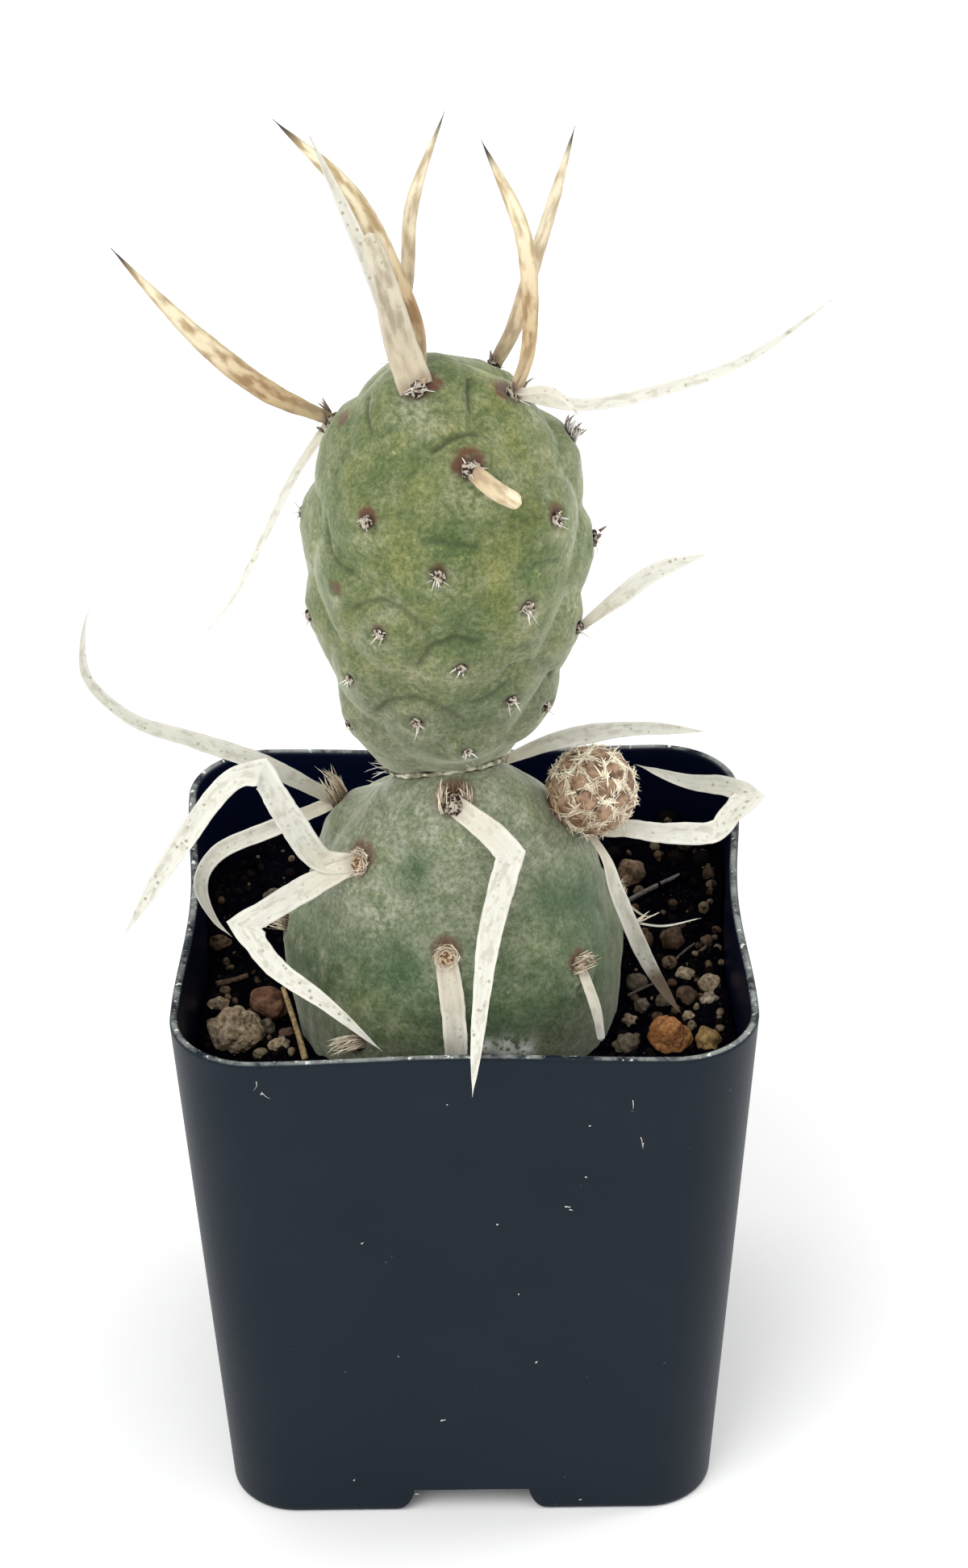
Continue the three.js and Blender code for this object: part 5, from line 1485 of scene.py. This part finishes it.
def turned(vectors, axes, angles):
    """Vectors turned about unit axes that they are square to, by angles in radians."""
    return vectors * np.cos(angles)[:, None] + np.cross(axes, vectors) * np.sin(angles)[:, None]


def middle_line(base, strokes):
    """Even samples along all strokes, their directions, and where the folds are, with the direction
    before and after each."""
    places, ways, folds = [], [], []
    start = np.array(base, float)
    for stroke in strokes:
        curve = curve_through(np.concatenate([[start], stroke]), True)
        length = np.linalg.norm(np.diff(curve, axis=0), axis=1).sum()
        samples = even_samples(curve, max(8, round(length / RIBBON_STEP)) + 1)
        way = unit(np.gradient(samples, axis=0))
        if places:
            folds.append((sum(len(p) for p in places) - 1, ways[-1][-1], way[0]))
            samples, way = samples[1:], way[1:]
        places.append(samples)
        ways.append(way)
        start = np.array(stroke[-1], float)
    return np.concatenate(places), np.concatenate(ways), folds


def blade_widths(along, widths):
    """The width at each sample, and whether the blade is pointed. The width runs straight between its
    stops, is smoothed by a moving average, and at the tip it is drawn out to a point or rounded off."""
    share = along / along[-1]
    pointed = widths[-1] <= POINTED_BELOW
    stops = np.array(widths[:-1] + (POINT_WIDTH,) if pointed else widths)
    wide = np.interp(share, np.linspace(0, 1, len(stops)), stops)
    kernel = np.hanning(max(5, len(wide) // 6 | 1))
    wide = np.convolve(np.pad(wide, len(kernel) // 2, "edge"), kernel / kernel.sum(), "valid")
    if pointed:
        return wide * np.sqrt(smoothstep(1.0, 0.93, share) + 0.02), True
    return wide * np.sqrt(1.02 - np.clip(1 - (along[-1] - along) / (0.6 * wide), 0, 1) ** 2), False


def blade_frame(ways, folds, along, wide, turn):
    """The ways across and out of the blade at each sample, and how much it is widened. Near a fold
    they lean over to those of the fold's bisector."""
    flat = turned(unit(FRONT - (ways @ FRONT)[:, None] * ways), ways, np.radians(turn))
    side = np.cross(ways, flat)
    stretch = np.ones(len(ways))
    for index, before, after in folds:
        way = unit(before + after)
        bend = math.acos(np.clip(before @ after, -1, 1))
        facing = unit(FRONT - (way @ FRONT) * way)
        mitre_flat = turned(facing[None], way[None], np.radians(turn[[index]]))
        mitre = np.cross(way[None], mitre_flat)
        zone = max(0.8, wide[index] * bend * 0.6)
        lean = 1 - smoothstep(0, zone, np.abs(along - along[index]))
        side = unit(side * (1 - lean[:, None]) + mitre * lean[:, None])
        flat = unit(flat * (1 - lean[:, None]) + mitre_flat * lean[:, None])
        stretch = stretch + lean * (min(1 / math.cos(bend / 2), 1.5) - 1)
    return side, flat, stretch


def ribbon_part(base, blade, seed):
    """A thin cupped lens carried along the middle line. Near a fold the line across the blade leans
    over to the fold's bisector, and lengthens, so that the two strokes meet in a clean crease."""
    strokes, widths, turns, tan, *rest = blade
    # The blade's share of painted shade, which greys its paper; most blades get a little.
    dim = rest[0] if rest else PLAIN_SHADE_SHARE
    places, ways, folds = middle_line(base, strokes)
    along = np.concatenate([[0], np.cumsum(np.linalg.norm(np.diff(places, axis=0), axis=1))])
    share = along / along[-1]
    wide, pointed = blade_widths(along, widths)
    wobble, tear = (np.stack([along, np.full_like(along, number), np.zeros_like(along)], -1)
                    for number in (seed, 3 * seed))
    turn = np.interp(share, [0, 1], turns) + 7 * noise(wobble, 9.0, seed)
    side, flat, stretch = blade_frame(ways, folds, along, wide, turn)
    a = np.linspace(-1, 1, ACROSS_STEPS)
    half = (wide / 2 * stretch * (1 + 0.035 * rough(tear, 1.1, 3, 17)))[:, None]
    middle = PAPER_MIDDLE + (HORN_MIDDLE - PAPER_MIDDLE) * tan
    edge = PAPER_EDGE + (HORN_EDGE - PAPER_EDGE) * tan
    thick = (edge + (middle - edge) * (1 - a[None, :] ** 2)) * np.clip(wide[:, None] / 1.2, 0.35, 1)
    sheet = np.stack(np.broadcast_arrays(along[:, None], half * a, float(seed)), -1)
    cup = half * (0.24 - 0.16 * tan) * (a[None, :] ** 2 - 0.4)
    ripple = 0.05 * rough(sheet.reshape(-1, 3) * [0.5, 1, 1], 1.0, 2, seed + 3).reshape(cup.shape)
    lift = cup + ripple * np.clip(half, 0.2, 1)
    spread = places[:, None] + side[:, None] * (half * a[None, :])[..., None]
    top = spread + flat[:, None] * (lift + thick / 2)[..., None]
    under = spread + flat[:, None] * (lift - thick / 2)[..., None]
    grid = np.concatenate([top[:, ::-1], under], axis=1)
    return tube_part(grid, along=along[:, None], across=np.concatenate([a[::-1], a]), width=half, tan=tan,
                     dim=dim, tip=share[:, None] * (1 if pointed else 0.8), seed=float(seed))


# %% [markdown]
# ## Areoles: felt and glochids
#
# Every areole is a small cushion of felt from which barbed hairs, the glochids, stand out. Each hair
# is a sliver of three sides in the mesh, which bends a little and ends in a point. All the hairs of a
# tuft are worked out in one go as arrays.

# %% Hairs and felt
HAIR_STOPS, HAIR_SIDES, HAIR_TAPER = np.array([0.0, 0.45, 0.8]), 3, 0.75
FELT_RINGS, FELT_SIDES, WOOL_DEPTH = 9, 22, 0.22


def hair_part(roots, ways, lengths, thick, bend, material, tones):
    """Slivers of three sides: each centre line runs along its way and bends with the square of the
    length, and its radius shrinks to a point."""
    count = len(roots)
    ways = unit(ways)
    helper = np.where(np.abs(ways[:, 2:]) < 0.9, [[0, 0, 1.0]], [[1.0, 0, 0]])
    u = unit(np.cross(helper, ways))
    v = np.cross(ways, u)
    angle = turn_steps(HAIR_SIDES)
    spoke = u[:, None] * np.cos(angle)[None, :, None] + v[:, None] * np.sin(angle)[None, :, None]
    t = HAIR_STOPS[None, :, None]
    long = lengths[:, None, None]
    centre = roots[:, None] + ways[:, None] * long * t + bend[:, None] * long * t ** 2
    radius = thick[:, None] / 2 * (1 - HAIR_TAPER * HAIR_STOPS[None, :])
    rings = centre[:, :, None] + spoke[:, None] * radius[..., None, None]
    tip = roots + ways * lengths[:, None] + bend * lengths[:, None]
    points = np.concatenate([rings.reshape(count, -1, 3), tip[:, None]], axis=1)
    per = points.shape[1]
    quads = grid_faces(len(HAIR_STOPS), HAIR_SIDES)
    last = HAIR_SIDES * (len(HAIR_STOPS) - 1)
    sides = [[last + k, last + (k + 1) % HAIR_SIDES, per - 1] for k in range(HAIR_SIDES)]
    tris = np.array([[2, 1, 0]] + sides)
    shift = (np.arange(count) * per)[:, None, None]
    return {"points": points.reshape(-1, 3), "quads": (quads[None] + shift).reshape(-1, 4),
            "tris": (tris[None] + shift).reshape(-1, 3), "material": material,
            "values": {"tone": np.repeat(tones, per)}}


def felt_part(place, normal, radius, height, fair, seed, material):
    """A low dome of wool over the pit: rings that shrink by a cosine, pushed about by fine noise, and
    closed by a shallow bowl underneath."""
    u = unit(np.cross([0.3, 0.2, 1.0], normal))
    v = np.cross(normal, u)
    tilt = np.concatenate([[-0.9], np.linspace(-0.3, math.pi / 2 - 0.12, FELT_RINGS)])
    angle = turn_steps(FELT_SIDES)
    wide = radius * np.cos(tilt)[:, None, None]
    rise = height * np.sin(tilt)[:, None, None]
    spoke = u * np.cos(angle)[:, None] + v * np.sin(angle)[:, None]
    grid = place + wide * spoke[None] + rise * normal
    wool = WOOL_DEPTH * radius * rough(grid.reshape(-1, 3), 0.5, 3, seed).reshape(grid.shape[:2])
    grid = grid + (wide * spoke[None] + rise * normal) / radius * wool[..., None]
    return tube_part(grid, material, fair=fair)


# Tufts that differ from the rest, by segment and areole. FANS lean one way and are longer. CURLED
# ones curl round their pit, the HOLLOW one is brown in its middle, FAIR ones have fair felt, STUBS
# bear a few dark pointed stubs, and the BARE one is only a mark.
FANS = {
    ("lower", 0): ((-0.55, -0.1, 0.85), 1.7), ("lower", 6): ((-1, -0.4, 0.1), 1.5),
    ("lower", 4): ((1, -0.3, 0.1), 1.1), ("lower", 5): ((-0.9, -0.3, -0.45), 1.7),
}
CURLED, HOLLOW, BARE = {("lower", 1), ("lower", 3)}, {("lower", 2)}, {("upper", 13)}
FAIR = {
    ("lower", 0): 0.7, ("lower", 1): 0.8, ("lower", 3): 1.0, ("lower", 4): 0.9, ("lower", 5): 0.6,
}
STUBS = {
    ("upper", 0): ((-0.45, -0.2, 1), 2.6), ("upper", 2): ((0.2, -0.2, 1), 2.8),
    ("upper", 5): ((1, -0.2, 0.6), 1.9), ("upper", 3): ((0.1, -0.2, 1), 1.8),
    ("upper", 11): ((0.7, -0.3, 1), 1.5),
}
STUB_COUNT = 7
# Short spines beside a tuft, each from a point to a point, with its width
SHORT_SPINES = {("lower", 7): [
    ((18.4, -6.7, 66.9), (20.7, -6, 68.4), 0.42), ((18.4, -6.7, 66.8), (21.8, -6, 68.15), 0.42),
    ((18.9, -6.5, 66.9), (20.2, -6.2, 68.0), 0.5),
]}


def crown_hairs(key, size, spoke, normal, rise, rng):
    """Ways, lengths, widths and bends of a palisade of bristles on the upper rim, or of a wreath that
    curls round the pit."""
    count = len(spoke)
    ways = 0.75 * normal + 0.9 * rise + spoke * 0.25 + 0.16 * rng.normal(size=(count, 3))
    length = rng.uniform(0.8, 1.7, count) * size
    bend = 0.12 * rng.normal(size=(count, 3)) - 0.25 * spoke
    if key in CURLED:
        round_pit = np.cross(normal, spoke) * rng.choice([-1, 1], count)[:, None]
        ways = round_pit + 0.35 * normal + 0.25 * rng.normal(size=(count, 3))
        bend, length = bend - 0.5 * spoke, length * 0.7
    way, longer = FANS.get(key, (None, 1))
    if way is not None:
        ways, length = ways + 1.7 * np.array(way) + 0.2 * rng.normal(size=(count, 3)), length * longer
    return ways, length, rng.uniform(0.10, 0.32, count), bend


def tuft_parts(segment, index, rng, crown, felt_slot, hair_slot):
    """Felt and glochids of one areole: straw bristles on the rim of a crown, and elsewhere a few
    thick pale hairs that curl out of the felt."""
    seat, normal, rise = (segment[part][index] for part in ("seat", "normal", "rise"))
    size, key = segment["size"][index], (segment["name"], index)
    if key in BARE:
        return []
    sideways = np.cross(normal, rise)
    place = seat - normal * 0.25
    parts = [felt_part(place, normal, size * 0.66, size * 0.34, FAIR.get(key, 0.0), index, felt_slot)]
    count = int((42 if crown else 9) * size)
    turn = rng.uniform(-1.9, 2.2, count) if crown else rng.uniform(0, 2 * math.pi, count)
    reach = rng.uniform(0.55, 0.95, count) * size if crown else rng.uniform(0, 0.5, count) * size
    spoke = rise * np.cos(turn)[:, None] + sideways * np.sin(turn)[:, None]
    if crown:
        ways, length, thick, bend = crown_hairs(key, size, spoke, normal, rise, rng)
        tone = np.clip(rng.normal(0.6, 0.35, count), 0, 1)
        if key in HOLLOW:
            inner = np.abs(turn) < 0.8
            tone, length = np.where(inner, -0.15, tone), length * np.where(inner, 0.45, 0.8)
    else:
        ways = normal + spoke * rng.uniform(0.2, 1.1, count)[:, None] + 0.3 * rng.normal(size=(count, 3))
        length = rng.uniform(0.5, 1.2, count) * size ** 0.5
        thick = rng.uniform(0.17, 0.34, count)
        bend = 0.5 * rng.normal(size=(count, 3)) - 0.3 * rise
        tone = rng.uniform(0.5, 1.1, count)
    roots = place + spoke * reach[:, None] - normal * 0.1
    parts.append(hair_part(roots, ways, length, thick, bend, hair_slot, tone))
    if key in SHORT_SPINES:
        starts, ends, widths = (np.array(column) for column in zip(*SHORT_SPINES[key]))
        parts.append(hair_part(starts, ends - starts, np.linalg.norm(ends - starts, axis=1), widths,
                               np.zeros((len(starts), 3)), hair_slot, np.ones(len(starts))))
    if key in STUBS:
        way, longest = STUBS[key]
        n = STUB_COUNT
        roots = place + 0.3 * size * rng.normal(size=(n, 3))
        ways = unit(np.array(way)) + 0.16 * rng.normal(size=(n, 3))
        parts.append(hair_part(roots, ways, longest * rng.uniform(0.5, 1, n), rng.uniform(0.35, 0.6, n),
                               0.1 * rng.normal(size=(n, 3)), hair_slot, rng.uniform(-0.1, 0.25, n)))
    return parts


# %% [markdown]
# The paper is cream to white with brighter edges, grey-brown specks down its middle and fine
# lengthwise streaks. The upper spines are older and stiffer: tan and yellow horn, blotched with
# brown, with dark tips. One finish makes both, led by a value from paper to horn.

# %% Finishes of paper, felt and hair
def paper_finish():
    """Paper and horn, from the values that each blade carries for its points."""
    material, tree = new_material("ribbon_paper", 0.72, 0.3)
    along, across = stored(tree, "along"), stored(tree, "across")
    seed, half = stored(tree, "seed"), stored(tree, "width")
    tan, tip, dim = stored(tree, "tan"), stored(tree, "tip"), stored(tree, "dim")
    aside = math_node(tree, "MULTIPLY", across, half)
    place = node(tree, "CombineXYZ", {"X": along, "Y": aside, "Z": seed}).outputs[0]

    def pattern(stretch, scale, detail):
        moved = node(tree, "VectorMath", {0: place, 1: stretch}, operation="MULTIPLY").outputs[0]
        return node(tree, "TexNoise", {"Vector": moved, "Scale": scale, "Detail": detail}).outputs["Fac"]

    streak = pattern((0.16, 2.2, 1.0), 1.6, 3.0)
    cloud = pattern((0.45, 1.5, 1.0), 0.7, 5.0)
    dots = node(tree, "TexVoronoi", {"Vector": place, "Scale": 1.25}).outputs["Distance"]
    blotch = pattern((0.6, 1.3, 1.0), 1.1, 5.0)
    paper = blend(tree, streak, (0.56, 0.55, 0.47), (0.78, 0.77, 0.69))
    paper = lay(tree, paper, between(tree, blotch, 0.50, 0.64), (0.42, 0.40, 0.32), 0.5)
    grey = blend(tree, between(tree, cloud, 0.35, 0.65), (0.25, 0.22, 0.165), (0.45, 0.42, 0.34))
    # Painted shade: blades that lie in shade turn to grey paper by their share of it.
    paper = blend(tree, dim, paper, grey)
    young = blend(tree, between(tree, cloud, 0.38, 0.60), (0.27, 0.155, 0.072), (0.54, 0.39, 0.21))
    aged = blend(tree, between(tree, cloud, 0.36, 0.62), (0.40, 0.295, 0.155), (0.78, 0.69, 0.49))
    horn = blend(tree, between(tree, tip, 0.12, 0.72), young, aged)
    base = blend(tree, between(tree, tan, 0.2, 0.95), paper, horn)
    from_middle = math_node(tree, "ABSOLUTE", across)
    middle = between(tree, from_middle, 0.95, 0.65)
    outer = math_node(tree, "ADD", times(tree, between(tree, tip, 0.25, 0.8), 0.5), 0.5)
    speck = times(tree, between(tree, dots, 0.34, 0.14), between(tree, cloud, 0.40, 0.56))
    specks = times(tree, times(tree, speck, middle), outer)
    specks = times(tree, specks, between(tree, tan, 0.9, 0.3))
    base = lay(tree, base, specks, (0.31, 0.28, 0.21))
    bright = times(tree, between(tree, from_middle, 0.60, 0.85), 0.4)
    base = lay(tree, base, bright, blend(tree, tan, (0.82, 0.81, 0.75), (0.42, 0.32, 0.19)))
    base = lay(tree, base, between(tree, along, 9.0, 2.0), (0.55, 0.48, 0.33), 0.35)
    half_dim = times(tree, between(tree, dim, 0.40, 0.44), between(tree, dim, 0.58, 0.50))
    worn = times(tree, half_dim, between(tree, tip, 0.70, 0.80))
    base = lay(tree, base, worn, (0.13, 0.080, 0.045), 0.85)
    root = times(tree, between(tree, along, 2.0, 0.3), 0.45)
    base = lay(tree, base, root, (0.17, 0.11, 0.075))
    dark_tip = times(tree, between(tree, tip, 0.86, 0.97), between(tree, tan, 0.5, 0.8))
    base = lay(tree, base, dark_tip, (0.035, 0.028, 0.024))
    return paint(material, base, bump(tree, streak, 0.05))


def felt_finish():
    """Grey-white wool with brown in its hollows."""
    material, tree = new_material("areole_felt", 0.95, 0.1)
    wool = grain(tree, 0.4, 4.0)
    hollows = blend(tree, stored(tree, "fair"), (0.022, 0.013, 0.009), (0.13, 0.065, 0.032))
    wool_tips = blend(tree, stored(tree, "fair"), (0.46, 0.40, 0.32), (0.52, 0.40, 0.26))
    base = blend(tree, between(tree, wool, 0.42, 0.60), hollows, wool_tips)
    return paint(material, base, bump(tree, wool, 0.2))


def hair_finish(name, dark, pale):
    """Hairs between two tones, each with its own."""
    material, tree = new_material(name, 0.6, 0.4)
    return paint(material, blend(tree, stored(tree, "tone"), dark, pale))


PAPER = paper_finish()
FELT = felt_finish()
STRAW_HAIR = hair_finish("glochids", (0.24, 0.15, 0.09), (0.92, 0.82, 0.64))
WHITE_HAIR = hair_finish("pale_glochids", (0.20, 0.14, 0.10), (0.95, 0.92, 0.86))


# %% [markdown]
# A few bits of lint and dust lie on the pot's dark front wall. They are the same slivers as the
# hairs, laid flat on the wall.

# %% Lint on the pot
LINT_WIDTH, LINT_TONE = 0.85, 0.75
# Each bit of lint: x, height, length, how steeply it lies, and width
LINT = np.array([
    (3.2, 43.2, 0.3, 0.3, 0.28), (-3.4, 14.1, 0.6, 0.2, 0.25), (7.4, 22.8, 0.3, 0.9, 0.25),
    (18.9, 55.9, 0.9, -1, 0.12), (19.2, 55.1, 0.8, -1.9, 0.12), (12.9, 50.2, 0.25, 0.1, 0.25),
    (10.7, 45.9, 0.7, 0.15, 0.22), (11.2, 45.5, 0.4, -0.3, 0.2), (-11.7, 40.9, 0.22, 0.5, 0.22),
    (-13.5, 5, 0.25, 0.5, 0.25), (-6.5, 2.7, 0.3, 0.2, 0.2), (12.3, 1.5, 0.25, 0.4, 0.22),
    (18, 61.1, 1, -1.3, 0.12), (13.3, 57.4, 0.25, 0.3, 0.22), (-21.9, 62.6, 0.25, 0.3, 0.22),
    (-22.3, 64.4, 1.4, -1.2, 0.1), (-21.8, 62.9, 1.5, -1.1, 0.1), (-2, 60.2, 0.2, 0.3, 0.2),
    (5.5, 33, 0.2, 0.3, 0.2), (-8, 24, 0.2, 0.6, 0.18),
])


def lint_part():
    """Short slivers laid on the front wall at their places."""
    rng = np.random.default_rng(31)
    x, z, length, steep, thick = LINT.T
    half = (POT_BASE + (POT_TOP - POT_BASE) * z / POT_HEIGHT) / 2
    flat = half - CORNER_BASE - (CORNER_TOP - CORNER_BASE) * z / POT_HEIGHT
    bow = FRONT_BOW * z / POT_HEIGHT * np.cos(math.pi / 2 * np.clip(x / flat, -1, 1)) ** 2
    roots = np.stack([x, bow - half, z], -1)
    ways = np.stack([np.cos(steep), np.zeros_like(x), np.sin(steep)], -1)
    bend = np.stack([0.4 * rng.normal(size=len(x)), np.zeros_like(x), 0.4 * rng.normal(size=len(x))], -1)
    return hair_part(roots, ways, length, LINT_WIDTH * thick, bend, 0, np.full(len(x), LINT_TONE))


build_piece("pot_lint", [lint_part()], [WHITE_HAIR])

# %% Build every spray and tuft
def make_sprays(segment, sprays, crown, hair, seed):
    """One piece for each spray. The parts of the segment's other tufts are handed back."""
    rng = np.random.default_rng(seed)
    for k, (name, (index, blades)) in enumerate(sprays.items()):
        parts = [ribbon_part(segment["seat"][index] - 0.2 * segment["normal"][index], blade, seed + 5 * k + j)
                 for j, blade in enumerate(blades)]
        parts += tuft_parts(segment, index, rng, crown or not blades, 1, 2)
        build_piece("spines_" + name, parts, [PAPER, FELT, hair], ["spray_" + name])
    borne = {index for index, _ in sprays.values()}
    rest = [index for index in range(len(segment["size"])) if index not in borne]
    return [part for index in rest for part in tuft_parts(segment, index, rng, False, 0, 1)]


# Each segment's sprays, whether its tufts are crowns, their hair, and the seed of its random draws
BORNE = {
    "upper_tufts": (UPPER, UPPER_SPRAYS, False, WHITE_HAIR, 77),
    "lower_tufts": (LOWER, LOWER_SPRAYS, True, STRAW_HAIR, 33),
}
for name, (segment, sprays, crown, hair, seed) in BORNE.items():
    tufts = make_sprays(segment, sprays, crown, hair, seed)
    build_piece(name, tufts, [FELT, hair])
print("sprays:", len(UPPER_SPRAYS) + len(LOWER_SPRAYS))

# %% [markdown]
# ## The young offset
#
# On the right shoulder sits a small brown ball: a new segment that is still all tubercles and dry
# bracts. Its surface is a sphere with points spread evenly over it by the golden angle. Round each
# point the sphere swells to a tubercle, and the seams between them are filled with straw-coloured
# hair that lies along the surface and sticks out a little at the outline.

# %% The ball and its hair
BALL_RADIUS, BALL_CENTRE = 4.9, np.array([14.1, -8.2, 85.7])
BALL_CELLS, BALL_HAIRS = 46, 2600
SEAM_WIDTH, HAIRY_SEAM, STANDING_SHARE = 0.10, 0.11, 0.05


def golden_points(count):
    """Points spread evenly over a sphere: even steps down the axis, and the golden angle round it."""
    height = 1 - 2 * (np.arange(count) + 0.5) / count
    turn = np.arange(count) * math.pi * (3 - math.sqrt(5))
    round_ = np.sqrt(1 - height ** 2)
    return np.stack([round_ * np.cos(turn), round_ * np.sin(turn), height], -1)


def ball_cells(directions):
    """For each direction: the distances to the nearest two cells, and the way along the seam between
    them, which is square to the direction and to the line that joins the cells."""
    cells = golden_points(BALL_CELLS)
    apart = np.linalg.norm(directions[:, None] - cells[None], axis=2)
    order = np.argsort(apart, axis=1)[:, :2]
    near = np.take_along_axis(apart, order, axis=1)
    seam_way = np.cross(directions, cells[order[:, 1]] - cells[order[:, 0]])
    return near[:, 0], near[:, 1], unit(seam_way)


def ball_part():
    """The sphere, with a flat-topped swelling in each cell and rough seams between them."""
    ball, faces = unit_sphere(6)
    first, second, _ = ball_cells(ball)
    seam = bell(second - first, SEAM_WIDTH)
    swell = smoothstep(0.36, 0.16, first)
    radius = BALL_RADIUS * (0.925 + 0.075 * swell) - 0.10 * bell(first, 0.10)
    radius += 0.16 * rough(ball * BALL_RADIUS, 0.8, 3, 61) * (0.3 + seam)
    return {"points": BALL_CENTRE + ball * radius[:, None], "tris": faces, "values": {"seam": seam}}


def ball_hair():
    """Bristles rooted in the seams: most run along their seam, and some stand away from the ball."""
    rng = np.random.default_rng(12)
    tries = unit(rng.normal(size=(BALL_HAIRS * 7, 3)))
    first, second, seam_way = ball_cells(tries)
    picked = np.flatnonzero(second - first < HAIRY_SEAM)[:BALL_HAIRS]
    out, seam_way = tries[picked], seam_way[picked]
    count = len(out)
    seam_way = seam_way * rng.choice([-1, 1], count)[:, None]
    standing = rng.uniform(0, 1, count) < STANDING_SHARE
    drift = np.stack([noise(out * BALL_RADIUS, 1.3, 70 + k) for k in range(3)], -1)
    lift = np.where(standing, rng.uniform(0.5, 1.4, count), rng.uniform(0.02, 0.16, count))[:, None]
    ways = seam_way + 0.7 * drift + 0.16 * rng.normal(size=(count, 3))
    ways = ways - out * (ways * out).sum(1)[:, None] + out * lift
    length = np.where(standing, rng.uniform(0.6, 1.1, count), rng.uniform(0.9, 1.9, count))
    roots = BALL_CENTRE + out * (BALL_RADIUS * 0.965)
    bend = -out * (0.10 * length)[:, None] + 0.20 * rng.normal(size=(count, 3))
    thick = np.where(standing, rng.uniform(0.08, 0.16, count), rng.uniform(0.38, 0.66, count) ** 2)
    tone = 0.62 + 0.6 * noise(out * BALL_RADIUS, 1.8, 75) + 0.2 * rng.normal(size=count)
    # Painted light: the hairs are lighter towards the ball's upper right side.
    tone += 0.3 * out @ unit(np.array([0.7, -0.3, 0.7]))
    return hair_part(roots, ways, length, thick, bend, 1, np.clip(tone, 0, 1))


def ball_finish():
    """Smooth brown bracts, mottled lighter, in a network of seams darkened by painted shade."""
    material, tree = new_material("offset_bracts", 0.7, 0.35)
    mottled = grain(tree, 1.1, 4.0)
    bract = blend(tree, between(tree, mottled, 0.35, 0.65), (0.12, 0.062, 0.034), (0.38, 0.25, 0.155))
    # Painted shade: the seams between the bracts are darkened.
    base = blend(tree, between(tree, stored(tree, "seam"), 0.1, 0.8), bract, (0.05, 0.025, 0.013))
    return paint(material, base, bump(tree, grain(tree, 0.3, 4.0, seed=2.0), 0.08))


BALL_STRAW = hair_finish("offset_straw", (0.34, 0.21, 0.105), (1.0, 0.94, 0.76))
build_piece("offset_ball", [ball_part(), ball_hair()], [ball_finish(), BALL_STRAW],
            ["young_offset"])
print("ball:", TRIANGLES["offset_ball"])

# %% [markdown]
# ## The joint
#
# Where the upper segment grew out of the lower one, a thin corky scar runs round the neck. It is a
# narrow ring along the joint's tilted plane, and it hides the gap between the two solids. A fan of
# bristles stands at its left end and a few more at its front.

# %% The scar and its bristles
SCAR_RADIUS, SCAR_THICK = 6.0, 0.27
SCAR_STEPS, SCAR_SIDES = 160, 10
LEFT_BRISTLES, FRONT_BRISTLES = 13, 3


def scar_part():
    """A ring whose section is a small circle, thicker and thinner by noise."""
    angle = turn_steps(SCAR_STEPS)
    middle = plain_point(LOWER, SCAR_RADIUS, JOINT_HEIGHT + 0.15, angle)
    out = np.stack([np.cos(angle), np.sin(angle), np.zeros(SCAR_STEPS)], -1)
    thick = SCAR_THICK * (1 + 0.35 * rough(middle, 1.1, 3, 41))
    turn = turn_steps(SCAR_SIDES)
    up = np.array([0, 0, 1.0])
    ring = out[:, None] * np.cos(turn)[None, :, None] + up * np.sin(turn)[None, :, None]
    grid = middle[:, None] + ring * thick[:, None, None]
    flaky = 0.12 * rough(grid.reshape(-1, 3), 0.5, 2, 43).reshape(grid.shape[:2])
    grid = grid + ring * flaky[..., None]
    k = np.arange(SCAR_STEPS)[:, None] * SCAR_SIDES
    column = np.arange(SCAR_SIDES)[None, :]
    ahead, after = (k + SCAR_SIDES) % (SCAR_STEPS * SCAR_SIDES), (column + 1) % SCAR_SIDES
    quads = np.stack([k + column, ahead + column, ahead + after, k + after], -1).reshape(-1, 4)
    return {"points": grid.reshape(-1, 3), "quads": quads}


def scar_bristles(rng):
    """Pale bristles fanned out of the joint's left end, and three at its front."""
    few, more = FRONT_BRISTLES, LEFT_BRISTLES
    count = few + more
    left = plain_point(UPPER, SCAR_RADIUS + 0.3, JOINT_HEIGHT + 0.9, np.full(more, math.pi))
    front = plain_point(UPPER, SCAR_RADIUS + 1.6, JOINT_HEIGHT + 2, np.full(few, -math.pi * 0.40))
    roots = np.concatenate([left, front]) + 0.28 * rng.normal(size=(count, 3))
    ways = np.concatenate([np.tile([-1, -0.1, 0.05], (more, 1)), np.tile([0.5, -1, 0.3], (few, 1))])
    ways = ways + 0.22 * rng.normal(size=(count, 3))
    length = np.concatenate([rng.uniform(1.1, 2.1, more), rng.uniform(1.2, 1.8, few)])
    return hair_part(roots, ways, length, rng.uniform(0.13, 0.22, count),
                     0.2 * rng.normal(size=(count, 3)), 1, rng.uniform(0.45, 1, count))


def scar_finish():
    """Cork: brown, with a pale dry edge here and there."""
    material, tree = new_material("joint_cork", 0.9, 0.1)
    flaky = between(tree, grain(tree, 0.9, 4.0), 0.40, 0.62)
    base = blend(tree, flaky, (0.20, 0.19, 0.12), (0.58, 0.56, 0.45))
    return paint(material, base, bump(tree, grain(tree, 0.3, 4.0), 0.08))


build_piece("joint_scar", [scar_part(), scar_bristles(np.random.default_rng(8))],
            [scar_finish(), WHITE_HAIR])
print("scar:", TRIANGLES["joint_scar"])

# %% [markdown]
# ## Finish
#
# The last cell prints how many triangles the dressed pieces add.

# %% Measure and finish
print("triangles added:", sum(TRIANGLES.values()), "largest:", max(TRIANGLES.values()))
